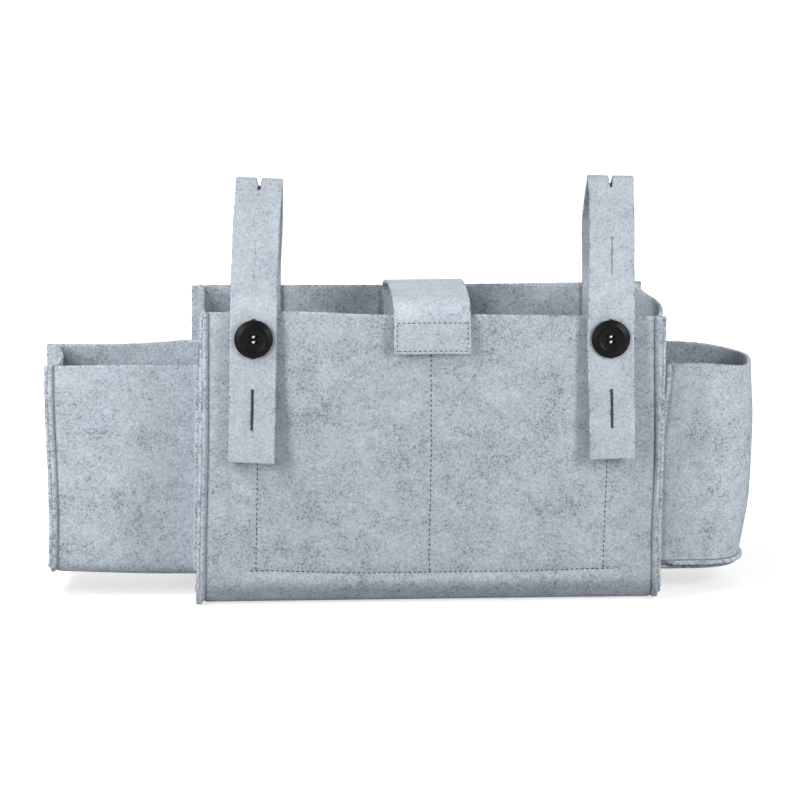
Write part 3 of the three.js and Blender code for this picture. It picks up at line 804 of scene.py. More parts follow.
def bottle_base():
    """Bottle pocket's base: a flat plate between paired points of the wall's plan, grown by its foot."""
    half_felt = felt_sizes().felt / 2
    foot = BOTTLE_FLANGE - BASE_INSET
    radius = (POCKET_BACK - POCKET_FRONT) / 2 + foot
    middle = (POCKET_BACK + POCKET_FRONT) / 2
    round_x = BOTTLE_FAR - half_felt - BOTTLE_TAPER + foot - radius
    a = np.linspace(0, np.pi / 2, ROUND_POINTS)[1:-1]
    straight = np.linspace(POCKET_END, round_x, STRAIGHT_POINTS)
    x = np.r_[straight, round_x + radius * np.sin(a)]
    front = np.r_[np.full(len(straight), radius), radius * np.cos(a)]
    back = np.minimum(front, POCKET_BACK + half_felt - middle)
    u = np.linspace(-1, 1, ACROSS_POINTS)[None, :]
    y = middle + np.where(u > 0, back[:, None], front[:, None]) * u
    xx = np.tile(x[:, None], (1, ACROSS_POINTS))
    points = np.stack([xx, y, np.full_like(xx, BOTTLE_BASE)], axis=2)
    # The base's colour carries painted shade.
    return sheet_of(points, grid_quads(*xx.shape), points[:, :, :2], np.full_like(xx, BASE_PAINTED_SHADE))


# Straps and closure tab


BAND_CONTRAST = -0.27
BAND_TONE = 0.05
# How wide each side of the notch at the fold is at its end, and how much more at the fold itself.
NOTCH_END = 0.85 * MM
NOTCH_MORE = 0.95 * MM
# Width of a band as shares of its whole: at its front end, more by its button, and more past its fold.
BAND_NARROW = 0.97
BAND_MORE = 0.03
BAND_PAST_FOLD = 0.02
STRAP_CUP = 0.5 * MM
# Ranges over which a change of a band grows to its whole, from its front end or from its fold.
WIDENS = np.array([0, 120]) * MM
WIDENS_FROM_FOLD = np.array([-14, 46]) * MM
WAIST_BEGINS = np.array([115, 145]) * MM
WAIST_ENDS_FROM_FOLD = np.array([13, -17]) * MM
CUPS_FROM_FOLD = np.array([0, -80]) * MM
TWISTS = np.array([85, 0]) * MM
CURLS = np.array([160, 100]) * MM
TILTS_TO_FOLD = np.array([60, 0]) * MM
STRAP_STEP = 1.25 * MM
STRAP_CORNERS = np.array([(-61.5, 109), (-56.8, 219), (0, 307), (48.2, 228), (48.2, 165)]) * MM
STRAP_BENDS = np.array([30, 3.2, 40]) * MM
STRAP_COLUMNS = np.array([0.09, 0.25, 0.48, 0.74, 0.92, 1.0]) * STRAP_HALF
SLIT_HALF_LENGTH = 14.6 * MM
SLIT_PLACES = np.array([38.6, 89.5, 150]) * MM
SLIT_SHIFT = {"left": 0.0, "right": -1.5 * MM}
SLIT_LENS = 1.6 * MM
SLIT_LIP = {"left": 0.15, "right": 1.0}
FOLD_SLIT = 8.5 * MM
STRAP_LEAN_AT = np.array([0, 90, 135, 175, 212, 255, 300, 362]) * MM
STRAP_LEAN = {
    "left": np.array([-1.7, -0.3, 0.3, 2.5, 7.2, 8.4, 8.7, 9.6]) * MM,
    "right": np.array([1.8, 0.9, 3.0, 4.85, 6.4, 5.5, 8.9, 9.0]) * MM,
}
STRAP_WAIST = {"left": 0.0, "right": 0.03}
STRAP_TILT = {"left": 0.045, "right": 0.025}
STRAP_TWIST = {"left": 3.8 * MM, "right": 0.4 * MM}
STRAP_CURL = {"left": (0.0, 1.4 * MM), "right": (1.8 * MM, 2.0 * MM)}
SLIT_OPEN = {"left": np.array([1.0, 1.25, 0.04]) * MM, "right": np.array([1.0, 1.25, 0.4]) * MM}


def strap_sheet(side):
    """One felt band from its front end up over the sharp fold and down to the sewn end at the back.

    The band is a line in the side view carried across its width. Its slits are gaps between the two
    middle columns, which stand apart by an amount that changes along the band: narrow at a plain
    slit, a lens a (1 - t^2) at the button, and a notch at the fold. Below its button the band is
    twisted: one side stands out by the twist, and the other goes in by as much. Each side curls away
    from the front by c u^2, where u goes from the middle to the edge. At the fold the band is tilted.
    """
    line = rounded_line(STRAP_CORNERS, STRAP_BENDS, STRAP_STEP)
    s = run_length(line)
    fold = s[np.argmax(line[:, 1])]
    to_fold = np.abs(s - fold)
    low, middle, high = SLIT_OPEN[side]
    places = SLIT_PLACES + np.array([SLIT_SHIFT[side], BUTTON_LIFT[side], 0])
    to_slit = np.abs(s[:, None] - places) / SLIT_HALF_LENGTH
    gap = np.full_like(s, low)
    gap = np.where(to_slit[:, 1] < 1, middle + SLIT_LENS * (1 - to_slit[:, 1] ** 2), gap)
    gap = np.where(to_slit[:, 2] < 2, high, gap)
    notch = NOTCH_END + NOTCH_MORE * np.clip(1 - to_fold / FOLD_SLIT, 0, 1)
    gap = np.where(to_fold < 2 * FOLD_SLIT, notch, gap)
    wide = STRAP_COLUMNS + (gap[:, None] - STRAP_COLUMNS[0]) * (1 - STRAP_COLUMNS / STRAP_HALF)
    wide[:, 0] = gap
    narrow = BAND_NARROW + BAND_MORE * ramp(s, *WIDENS)
    narrow = narrow + BAND_PAST_FOLD * ramp(s - fold, *WIDENS_FROM_FOLD)
    waist = ramp(s, *WAIST_BEGINS) * ramp(s - fold, *WAIST_ENDS_FROM_FOLD)
    narrow = narrow - STRAP_WAIST[side] * waist
    across = np.hstack([-wide[:, ::-1], wide]) * narrow[:, None]
    u = across / STRAP_HALF
    x = STRAP_X[side] + across + smooth_curve(s, STRAP_LEAN_AT, STRAP_LEAN[side])[:, None]
    cup = STRAP_CUP * u**2 * ramp(s - fold, *CUPS_FROM_FOLD)[:, None]
    twist = STRAP_TWIST[side] * u * ramp(s, *TWISTS)[:, None]
    curl = np.where(across < 0, *STRAP_CURL[side]) * u**2 * ramp(s, *CURLS)[:, None]
    y = line[:, :1] + cup - twist - curl
    z = line[:, 1:] - STRAP_TILT[side] * ramp(to_fold, *TILTS_TO_FOLD)[:, None] * across
    columns = across.shape[1]
    quads = grid_quads(len(s), columns)
    row, column = np.divmod(quads[:, 0], columns)
    at = (s[row] + s[np.minimum(row + 1, len(s) - 1)]) / 2
    slit = (np.abs(at[:, None] - places) < SLIT_HALF_LENGTH).any(axis=1)
    slit |= np.abs(at - fold) < FOLD_SLIT
    quads = quads[~(slit & (column == columns // 2 - 1))]
    flat = np.stack([across, np.tile(s[:, None], (1, columns))], axis=2)
    sheet = sheet_of(np.stack([x, y, z], axis=2), quads, flat, np.full_like(across, BAND_TONE))
    sheet.contrast = BAND_CONTRAST
    upper_slit = np.repeat(to_slit[:, 2] < 1, columns)
    inner = np.tile(np.abs(np.arange(columns) - (columns - 1) / 2) < 1, len(s))
    sheet.lip[upper_slit & inner] = SLIT_LIP[side]
    return sheet


TAB_CORNERS = np.array([(-57.8, 187), (-57.8, 224.5), (15, 225), (48.2, 217.5), (48.2, 185)]) * MM
TAB_BENDS = np.array([18, 60, 7]) * MM
TAB_LEAN = (np.array([-60, -50, 15, 50]) * MM, np.array([-1.5, -2.0, -1.8, -2.2]) * MM)
TAB_SPREAD = 0.4 * MM

TAB_BOX = np.array([2.6, 23]) * MM
TAB_BOX_SIDE = 2.6 * MM
TAB_BOX_WIDTH = 1.5 * MM
TAB_BOX_DEPTH = 0.25 * MM
TAB_BOX_PAINTED_SHADE = 0.08
TAB_FRONT_END = 30 * MM
TAB_TONE = -0.03
TAB_TOP_PAINTED_LIGHT = -0.12
TAB_TOP = np.array([24, 36]) * MM
TAB_STEP = 1.6 * MM
TAB_FINE_STEP = 0.4 * MM
TAB_COLUMNS = 28
STITCH_BEDDING = 0.2 * MM


def tab_face(places):
    """Points and normals on the tab's outer face, from places across it and along it from its front end."""
    line = rounded_line(TAB_CORNERS, TAB_BENDS, TAB_FINE_STEP)
    s = run_length(line)
    y, z = read_off(places[:, 1], s, line).T
    back, up = read_off(places[:, 1], s, np.gradient(line, s, axis=0)).T
    normals = np.column_stack([np.zeros_like(y), -up, back])
    x = places[:, 0] + np.interp(y, *TAB_LEAN)
    out = felt_sizes().felt / 2 - STITCH_BEDDING
    return settle(np.column_stack([x, y, z]) + normals * out), normals


def tab_sheet():
    """Closure tab as one band, a line in the side view carried across its width.

    It is shifted sideways towards the back, and its box of stitches presses a line into the front end.
    """
    line = rounded_line(TAB_CORNERS, TAB_BENDS, TAB_STEP)
    s = run_length(line)
    across = np.linspace(TAB_SIDES[0] - TAB_SPREAD, TAB_SIDES[1] + TAB_SPREAD, TAB_COLUMNS)
    flat = np.stack(np.meshgrid(across, s), axis=2)
    x = across + np.interp(line[:, 0], *TAB_LEAN)[:, None]
    y, z = (np.tile(column[:, None], (1, TAB_COLUMNS)) for column in line.T)
    to_side = np.minimum(across - TAB_SIDES[0], TAB_SIDES[1] - across)
    in_box = np.minimum(s - TAB_BOX[0], TAB_BOX[1] - s)[:, None]
    to_upright = np.where(in_box < 0, np.inf, np.abs(to_side - TAB_BOX_SIDE))
    pressed = ridge(np.minimum(to_upright, np.abs(in_box)), TAB_BOX_WIDTH) * (s < TAB_FRONT_END)[:, None]
    y = y + TAB_BOX_DEPTH * pressed
    # Painted shade along the pressed box of stitches, and painted light on the tab from its top onwards,
    # where it faces up.
    tone = TAB_BOX_PAINTED_SHADE * pressed + TAB_TONE + TAB_TOP_PAINTED_LIGHT * ramp(s, *TAB_TOP)[:, None]
    sheet = sheet_of(np.stack([x, y, z], axis=2), grid_quads(*x.shape), flat, tone)
    sheet.contrast = BAND_CONTRAST
    return sheet


# Tapes, buttons, thread and stitches


def attach(piece, body, slot, *nodes):
    """Puts a piece on a body in place of CAD nodes. The slot is not used."""
    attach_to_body(piece, body)
    if nodes:
        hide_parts(*nodes)
    return piece


TAPE_POINTS = (41, 21)
TAPE_CORNER = (0.88, 0.7)
TAPE_CORNER_PULL = 40 * MM
TAPE_LIP = 0.25 * MM


def tape_piece(name, node, body, material):
    """Hook or loop tape: a thin sheet with rounded corners, over the box of its CAD node."""
    low, high = (np.array(corner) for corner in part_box(node))
    middle, half = (low + high) / 2, (high - low) / 2
    u, v = np.meshgrid(*(np.linspace(-1, 1, count) for count in TAPE_POINTS))
    corner = np.clip(np.abs(u) - TAPE_CORNER[0], 0, 1) * np.clip(np.abs(v) - TAPE_CORNER[1], 0, 1)
    x = middle[0] + half[0] * u - np.sign(u) * corner * TAPE_CORNER_PULL
    z = middle[2] + half[2] * v - np.sign(v) * corner * TAPE_CORNER_PULL
    points = np.stack([x, np.full_like(x, middle[1]), z], axis=2)
    sheet = sheet_of(points, grid_quads(*u.shape), points[:, :, ::2])
    sheet.points = settle(sheet.points)
    skin, faces, values = thicken(sheet, felt_sizes().tape, TAPE_LIP)
    piece = attach(mesh_object(name, skin, faces.tolist(), material, values), body, "fastening_tape", node)


def tube_faces(rows, sides):
    """Faces of a closed tube that is stored ring by ring: its cells, and a cap at each end."""
    ring = np.arange(rows - 1)[:, None] * sides
    k = np.arange(sides)
    after = (k + 1) % sides
    quads = np.stack([ring + k, ring + after, ring + after + sides, ring + k + sides], axis=2)
    return quads.reshape(-1, 4), np.array([k[::-1], (rows - 1) * sides + k])


BUTTON_SIDES = 128
HOLE_RADIUS = 1.05 * MM
HOLE_PLACES = np.array([(-2.25, -1.95), (-2.25, 1.95), (2.25, -1.95), (2.25, 1.95)]) * MM
BUTTON_PROFILE = np.array([
    (0.02, 0), (6, 0), (11.5, 0), (12.6, 0.15), (13.4, 0.6), (13.85, 1.2), (14, 1.8), (13.95, 2.2),
    (13.8, 2.48), (13.5, 2.72), (13.1, 2.94), (12.4, 3.3), (11.6, 3.72), (10.8, 4.14), (10.2, 4.44),
    (9.8, 4.58), (9.55, 4.6), (9.38, 4.5), (9.22, 4.25), (9.02, 3.88), (8.8, 3.64), (8.4, 3.44),
    (7.9, 3.25), (7.5, 3.11),
]) * MM
DISH_LOW = 2.35 * MM
DISH_RISE = 0.65 * MM
DISH_RADIUS = 7.2 * MM
DISH_POWER = 2.4
DISH_RINGS = 66
AXIS_RADIUS = 0.02 * MM
HOLE_DEPTH = 2.3 * MM
HOLE_EDGE = 0.22 * MM


def button_piece(name, centre, node, body):
    """Turned button: a profile of radius and height carried round an axis, with four holes.

    In the dish a point within a hole's radius is pushed back by depth times a smooth step.
    """
    inner = np.linspace(DISH_RADIUS, AXIS_RADIUS, DISH_RINGS)
    dish = DISH_LOW + DISH_RISE * (inner / DISH_RADIUS) ** DISH_POWER
    profile = np.vstack([BUTTON_PROFILE, np.column_stack([inner, dish])])
    angle = np.linspace(0, 2 * np.pi, BUTTON_SIDES, endpoint=False)
    right = profile[:, :1] * np.cos(angle)
    up = profile[:, :1] * np.sin(angle)
    height = np.tile(profile[:, 1:], (1, BUTTON_SIDES))
    hole_x, hole_z = HOLE_PLACES.T
    to_hole = np.min(np.hypot(right[..., None] - hole_x, up[..., None] - hole_z), axis=2)
    in_dish = (np.arange(len(profile)) >= len(BUTTON_PROFILE))[:, None]
    height = height - HOLE_DEPTH * ease((HOLE_RADIUS - to_hole) / HOLE_EDGE) * in_dish
    points = np.stack([centre[0] + right, centre[1] - height, centre[2] + up], axis=2).reshape(-1, 3)
    quads, caps = tube_faces(len(profile), BUTTON_SIDES)
    faces = quads.tolist() + caps.tolist()
    piece = mesh_object(name, points, faces, button_material("black_button"), {"flat": points - centre})
    attach(piece, body, "button_plastic", node)


def tube(line, radius, sides):
    """Closed tube: a circle of the given radius or radii carried along a line."""
    radius = np.broadcast_to(radius, len(line))
    ahead = unit(np.gradient(line, axis=0))
    guide = np.where(np.abs(ahead[:, 2:]) > 0.9, [[1.0, 0, 0]], [[0, 0, 1.0]])
    across = unit(np.cross(ahead, guide))
    upward = np.cross(across, ahead)
    angle = np.linspace(0, 2 * np.pi, sides, endpoint=False)[:, None]
    ring = across[:, None] * np.cos(angle) + upward[:, None] * np.sin(angle)
    points = line[:, None] + ring * radius[:, None, None]
    quads, caps = tube_faces(len(line), sides)
    return points.reshape(-1, 3), quads.tolist() + caps.tolist()


def joined(parts):
    """Several lists of points and faces as one."""
    offsets = np.cumsum([0] + [len(points) for points, _ in parts])
    faces = [[k + start for k in face] for (_, part), start in zip(parts, offsets) for face in part]
    return np.vstack([points for points, _ in parts]), faces


# Sewing of a button: its bars of strands, in millimetres, then its wound shank and the knot in metres.
STRANDS = (-0.45, 0, 0.45)
STRAND_HALF = 1.4
STRAND_SLANT = 0.25
STRAND_RISE = 0.7
STRAND_OUTER_LOWER = 0.3
STRAND_DROP = 2.2
STRAND_GATHER = 0.4
STRAND_POINTS, STRAND_SIDES = 17, 8
STRAND_RADIUS = 0.33 * MM
SHANK_FROM = 0.3 * MM
SHANK_PAST_FELT = 1.9 * MM
SHANK_POINTS, SHANK_SIDES = 60, 14
SHANK_RADIUS = 1.25 * MM
SHANK_WINDING = 0.18 * MM
SHANK_WINDING_ANGLE = 66
KNOT_PAST_FELT = 2.3 * MM
KNOT_POINTS, KNOT_SIDES = 12, 18
KNOT_RADIUS = 3.6 * MM
KNOT_HALF = 0.5 * MM


def axle(centre, y):
    """Points on a button's axis, at places from front to back."""
    return np.column_stack([np.full_like(y, centre[0]), y, np.full_like(y, centre[2])])


def thread_piece(name, centre, node, body):
    """Sewing of a button: two bars of strands over the dish, their legs, a wound shank and a knot.

    A strand's height over the dish is its rise less its drop times |t / 0.85|^1.9, with t from -1 to 1.
    The shank's radius is r + w sin(a t), and the knot's is r sqrt(1.02 - t^2), held between 0 and r.
    """
    parts = []
    t = np.linspace(-1, 1, STRAND_POINTS)
    for row in np.unique(HOLE_PLACES[:, 1]) / MM:
        for strand in STRANDS:
            x = STRAND_HALF * t + STRAND_SLANT * strand
            y = STRAND_DROP * np.abs(t / 0.85) ** 1.9 - STRAND_RISE + STRAND_OUTER_LOWER * abs(strand)
            z = row + strand * (1 - STRAND_GATHER * t**2) + STRAND_SLANT * t
            line = centre - np.array([0, DISH_LOW, 0]) + np.column_stack([x, y, z]) * MM
            parts.append(tube(line, STRAND_RADIUS, STRAND_SIDES))
    t = np.linspace(0, 1, SHANK_POINTS)
    shank = axle(centre, centre[1] + SHANK_FROM + (BODY_FRONT + SHANK_PAST_FELT - centre[1]) * t)
    parts.append(tube(shank, SHANK_RADIUS + SHANK_WINDING * np.sin(SHANK_WINDING_ANGLE * t), SHANK_SIDES))
    t = np.linspace(-1, 1, KNOT_POINTS)
    knot = axle(centre, BODY_FRONT + KNOT_PAST_FELT + KNOT_HALF * t)
    parts.append(tube(knot, KNOT_RADIUS * np.sqrt(np.clip(1.02 - t**2, 0, 1)), KNOT_SIDES))
    points, faces = joined(parts)
    material = thread_material("button_thread", bpy.context.scene.caddy_finish.button_thread)
    piece = mesh_object(name, points, faces, material, {"flat": points - centre})
    attach(piece, body, "button_thread", node)


STITCH_RINGS = np.array([-1, -0.86, -0.5, 0, 0.5, 0.86, 1])
STITCH_FAT = np.array([0.35, 0.8, 1, 1, 1, 0.8, 0.35])
STITCH_SINK = 0.3
STITCH_SIDES = 6


def stitch_run(points, normals):
    """Places of stitches at an even pitch along a line that lies on a surface."""
    pitch = felt_sizes().stitch_pitch
    run = run_length(points)
    at = np.arange(pitch / 2, run[-1], pitch)
    ahead = unit(read_off(at, run, np.gradient(points, run, axis=0)))
    return read_off(at, run, points), ahead, unit(read_off(at, run, normals))


def stitch_piece(name, runs, body):
    """Stitches as small arched threads: at t from -1 to 1 a stitch lies at lift (0.5 - 1.5 t^2) r.

    Stitch number n is sunk by SINK r (1 + sin(2.4 n + 2 sin 0.7 n)) / 2, so they don't all show alike.
    """
    sizes = felt_sizes()
    radius, half = sizes.stitch_radius, sizes.stitch_length / 2
    place, ahead, up = (np.vstack(part) for part in zip(*runs))
    angle = np.linspace(0, 2 * np.pi, STITCH_SIDES, endpoint=False)
    t = np.repeat(STITCH_RINGS, STITCH_SIDES)
    fat = np.repeat(STITCH_FAT * radius, STITCH_SIDES)
    wide = fat * np.tile(np.cos(angle), len(STITCH_RINGS))
    lift = fat * np.tile(np.sin(angle), len(STITCH_RINGS)) + radius * (0.5 - 1.5 * t**2)
    shape = np.stack([t * half, wide, lift], axis=1)
    axes = np.stack([ahead, np.cross(up, ahead), up], axis=1)
    number = np.arange(len(place))
    sunk = STITCH_SINK * radius * (1 + np.sin(2.4 * number + 2 * np.sin(0.7 * number))) / 2
    place = place - sunk[:, None] * up
    points = (place[:, None] + np.einsum("vk,skx->svx", shape, axes)).reshape(-1, 3)
    first = number[:, None, None] * len(shape)
    faces = []
    for part in tube_faces(len(STITCH_RINGS), STITCH_SIDES):
        faces += (part[None] + first).reshape(-1, part.shape[1]).tolist()
    material = thread_material("sewing_thread", bpy.context.scene.caddy_finish.sewing)
    attach(mesh_object(name, points, faces, material, {"flat": points}), body, "felt")


def surface_line(points, normal):
    """A line on a felt face after settling, with one normal for all its points."""
    points = settle(np.asarray(points, float))
    return points, np.tile(np.asarray(normal, float), (len(points), 1))


LINE_POINTS = 80


def between(start, end):
    """Even points from start to end."""
    t = np.linspace(0, 1, LINE_POINTS)[:, None]
    return np.asarray(start, float) * (1 - t) + np.asarray(end, float) * t


def box_sides(x0, x1, y0, y1):
    """The four sides of a rectangle, each as even points."""
    corners = [(x0, y0), (x1, y0), (x1, y1), (x0, y1), (x0, y0)]
    return [between(a, b) for a, b in zip(corners, corners[1:])]


SEWING_FROM_FOLD = 1.8 * MM


def fin_line(stations, seam_x, side):
    """Line of sewing along a seam fin, on the face of its panel, with the normals."""
    turn, out = stations.turn[:, None], stations.out
    ahead = np.hstack([side * np.cos(turn), out * np.sin(turn)])
    up = np.hstack([-side * np.sin(turn), out * np.cos(turn)])
    fold = np.column_stack([np.full(len(out), seam_x), stations.p])
    face = fold - (ply_step() + felt_sizes().felt / 2) * up
    return settle(face + ahead * SEWING_FROM_FOLD), -up


# Materials


def feed(tree, node, inputs):
    """Sets a node's inputs to values, or links them to sockets."""
    for label, value in inputs.items():
        if isinstance(value, bpy.types.NodeSocket):
            tree.links.new(value, node.inputs[label])
        else:
            node.inputs[label].default_value = value


def add_node(tree, kind, settings=None, inputs=None):
    """A node with its settings and its inputs."""
    made = tree.nodes.new(kind)
    for label, value in (settings or {}).items():
        setattr(made, label, value)
    feed(tree, made, inputs or {})
    return made


def noise(tree, place, scale, detail, roughness, distortion=0.0):
    """Value of a noise at a place, with the scale in waves per millimetre."""
    inputs = {
        "Vector": place, "Scale": scale / MM, "Detail": detail, "Roughness": roughness,
        "Distortion": distortion,
    }
    return add_node(tree, "ShaderNodeTexNoise", {"noise_dimensions": "3D"}, inputs).outputs[0]


def math(tree, operation, first, second=0.0, clamp=False):
    """Result of one arithmetic step."""
    settings = {"operation": operation, "use_clamp": clamp}
    return add_node(tree, "ShaderNodeMath", settings, {0: first, 1: second}).outputs[0]


def sum_of(tree, parts):
    """Sum of noises about their mean of one half, each times its weight."""
    total = 0.0
    for value, weight in parts:
        total = math(tree, "ADD", total, math(tree, "MULTIPLY", math(tree, "SUBTRACT", value, 0.5), weight))
    return total


def stepped(tree, value, low, high, kind="SMOOTHSTEP"):
    """Step of a value from 0 at low to 1 at high, smooth or linear."""
    inputs = {"Value": value, "From Min": low, "From Max": high}
    return add_node(tree, "ShaderNodeMapRange", {"interpolation_type": kind}, inputs).outputs[0]


def mixed(tree, amount, first, second, blend="MIX"):
    """Mix of two colours."""
    settings = {"data_type": "RGBA", "blend_type": blend}
    return add_node(tree, "ShaderNodeMix", settings, {0: amount, 6: first, 7: second}).outputs[2]


def new_group(name, inputs, outputs):
    """Empty shader node group with named sockets, its input node and its output node."""
    tree = bpy.data.node_groups.new(name, "ShaderNodeTree")
    for label, kind in inputs:
        tree.interface.new_socket(name=label, in_out="INPUT", socket_type=kind)
    for label, kind in outputs:
        tree.interface.new_socket(name=label, in_out="OUTPUT", socket_type=kind)
    return tree, tree.nodes.new("NodeGroupInput"), tree.nodes.new("NodeGroupOutput")


def point_attribute(tree, name, output="Fac"):
    """A named value or place that the mesh holds at its points."""
    return add_node(tree, "ShaderNodeAttribute", {"attribute_name": name}).outputs[output]


def bump(tree, height, strength, distance):
    """Normal of a bumpy surface, from its height."""
    inputs = {"Height": height, "Strength": strength, "Distance": distance}
    return add_node(tree, "ShaderNodeBump", None, inputs).outputs["Normal"]


def opaque(colour, factor=1.0):
    """A colour times a factor, with its alpha."""
    return (*(factor * part for part in colour), 1)


def seen_directly(tree):
    """1 for rays from the camera, reflections and glass, and 0 for the light that bounces."""
    path = add_node(tree, "ShaderNodeLightPath")
    seen = math(tree, "MAXIMUM", path.outputs["Is Camera Ray"], path.outputs["Is Glossy Ray"])
    return math(tree, "MAXIMUM", seen, path.outputs["Is Transmission Ray"])


# Noises of the felt: waves per millimetre, octaves, roughness and distortion.
WOOL = (0.03, 5, 1.0, 0.15)
FIBRE = (0.55, 0, 0.5, 0.4)
GRAIN = (1.05, 1, 0.8)
HUE = (0.016, 2, 0.6)
WOOL_WEIGHT = 0.7
FIBRE_WEIGHT = 0.24
GRAIN_WEIGHT = 0.5
GRAIN_HEIGHT = 0.25
EDGE_CONTRAST = 0.9
PALE_TO_DEEP = (0.66, 0.36)
TINT_FROM_TO = (0.4, 0.6)
FLECKS_FROM_TO = (0.44, 0.3)
FLECK_AMOUNT = 0.6
FELT_COLOURS = ("Pale", "Deep", "Lilac", "Fleck")


def felt_group():
    """Pressed wool: one noise of equal octaves from 33 mm to 1 mm, with a finer grain on top.

    High values are pale wool, low ones deep wool, and the lowest are dark flecks. A slow second noise
    tints the wool, and cut edges have more contrast.
    """
    sockets = [("Place", "NodeSocketVector"), ("Tone", "NodeSocketFloat"), ("Edge", "NodeSocketFloat")]
    sockets += [(label, "NodeSocketColor") for label in FELT_COLOURS]
    made = [("Color", "NodeSocketColor"), ("Height", "NodeSocketFloat")]
    tree, given, result = new_group("pressed_wool", sockets, made)
    place, tone, edge, pale, deep, lilac, fleck = list(given.outputs)[:len(sockets)]
    wool, fibre, grain, hue = (noise(tree, place, *kind) for kind in (WOOL, FIBRE, GRAIN, HUE))
    uneven = sum_of(tree, [(wool, WOOL_WEIGHT), (fibre, FIBRE_WEIGHT), (grain, GRAIN_WEIGHT)])
    contrast = math(tree, "ADD", math(tree, "MULTIPLY", edge, EDGE_CONTRAST), 1.0)
    level = math(tree, "ADD", math(tree, "MULTIPLY", uneven, contrast), 0.5)
    cloth = mixed(tree, stepped(tree, level, *PALE_TO_DEEP, "LINEAR"), pale, deep)
    cloth = mixed(tree, stepped(tree, hue, *TINT_FROM_TO), cloth, lilac, "MULTIPLY")
    flecks = math(tree, "MULTIPLY", stepped(tree, level, *FLECKS_FROM_TO), FLECK_AMOUNT)
    cloth = mixed(tree, flecks, cloth, fleck)
    # The tone darkens the wool's colour, and lightens it where negative: the pieces' painted shade and
    # painted light.
    keep = math(tree, "SUBTRACT", 1.0, tone)
    dark = add_node(tree, "ShaderNodeVectorMath", {"operation": "SCALE"}, {0: cloth, "Scale": keep})
    height = math(tree, "ADD", level, math(tree, "MULTIPLY", grain, GRAIN_HEIGHT))
    feed(tree, result, {"Color": dark.outputs[0], "Height": height})
    return tree


def new_material(name):
    """Material with a Principled shader: the material, its node tree and the shader."""
    material = bpy.data.materials.new(name)
    material.use_nodes = True
    return material, material.node_tree, material.node_tree.nodes["Principled BSDF"]


def built_once(build):
    """Makes a builder return the material that already has the name, if there is one."""

    def find(name, *values):
        return bpy.data.materials.get(name) or build(name, *values)

    return find


def flat_place(tree):
    """Place of a point in the piece's own flat pattern."""
    return point_attribute(tree, "flat", "Vector")


@built_once
def felt_material(name):
    """Mottled blue-grey felt."""
    finish = bpy.context.scene.caddy_finish
    material, tree, shader = new_material(name)
    inputs = {"Place": flat_place(tree)}
    for label in ("Tone", "Edge"):
        inputs[label] = point_attribute(tree, label.lower())
    for label in FELT_COLOURS:
        inputs[label] = opaque(getattr(finish, label.lower()))
    wool = add_node(tree, "ShaderNodeGroup", {"node_tree": felt_group()}, inputs)
    feed(tree, shader, {
        "Base Color": wool.outputs["Color"],
        "Roughness": 0.95,
        "Specular IOR Level": 0.15,
        "Sheen Weight": 0.18,
        "Sheen Roughness": 0.55,
        "Normal": bump(tree, wool.outputs["Height"], 0.5, 0.55 * MM),
    })
    return material


STRAND_SCALE = 0.9
STRAND_SHADE = 0.62


@built_once
def thread_material(name, colour):
    """Twisted sewing thread: bands that run askew round it are its strands, with painted shade in the
    grooves between them.
    """
    material, tree, shader = new_material(name)
    inputs = {"Vector": flat_place(tree), "Scale": STRAND_SCALE / MM, "Distortion": 1.5, "Detail": 1.0}
    twist = add_node(tree, "ShaderNodeTexWave", {"bands_direction": "DIAGONAL"}, inputs).outputs["Fac"]
    feed(tree, shader, {
        "Base Color": mixed(tree, twist, opaque(colour, STRAND_SHADE), opaque(colour)),
        "Roughness": 0.75,
        "Sheen Weight": 0.15,
        "Normal": bump(tree, twist, 0.4, 0.12 * MM),
    })
    return material


CLOUD = (0.16, 3, 0.55)
CLOUD_SHADES = (0.6, 1.5)
SCUFF = (1.4, 2, 0.6)


@built_once
def button_material(name):
    """Black moulded plastic with faint grey clouds and fine scuffs."""
    colour = bpy.context.scene.caddy_finish.button
    material, tree, shader = new_material(name)
    place = flat_place(tree)
    cloud, scuff = noise(tree, place, *CLOUD), noise(tree, place, *SCUFF)
    rough = add_node(tree, "ShaderNodeMapRange", None, {"Value": scuff, "To Min": 0.34, "To Max": 0.46})
    feed(tree, shader, {
        "Base Color": mixed(tree, cloud, *(opaque(colour, shade) for shade in CLOUD_SHADES)),
        "Roughness": rough.outputs[0],
        "Specular IOR Level": 0.13,
        "Normal": bump(tree, scuff, 0.06, 0.1 * MM),
    })
    return material


TUFT_SHADE = 0.5


@built_once
def tape_material(name, scale, randomness):
    """Hook or loop tape: rows of small tufts on a woven ground, with painted shade on the ground between
    the tufts.
    """
    colour = bpy.context.scene.caddy_finish.tape
    material, tree, shader = new_material(name)
    inputs = {"Vector": flat_place(tree), "Scale": scale / MM, "Randomness": randomness}
    distance = add_node(tree, "ShaderNodeTexVoronoi", None, inputs).outputs["Distance"]
    tuft = math(tree, "SUBTRACT", 1.0, distance, True)
    feed(tree, shader, {
        "Base Color": mixed(tree, tuft, opaque(colour, TUFT_SHADE), opaque(colour)),
        "Roughness": 0.8,
        "Normal": bump(tree, tuft, 0.8, 0.5 * MM),
    })
    return material


FLOOR_BOUNCE = (0.44, 0.44, 0.445, 1)
FLOOR_SEEN = (0.5, 0.5, 0.5, 1)
FLOOR_PLAIN_FROM_TO = (0.26, 0.42)


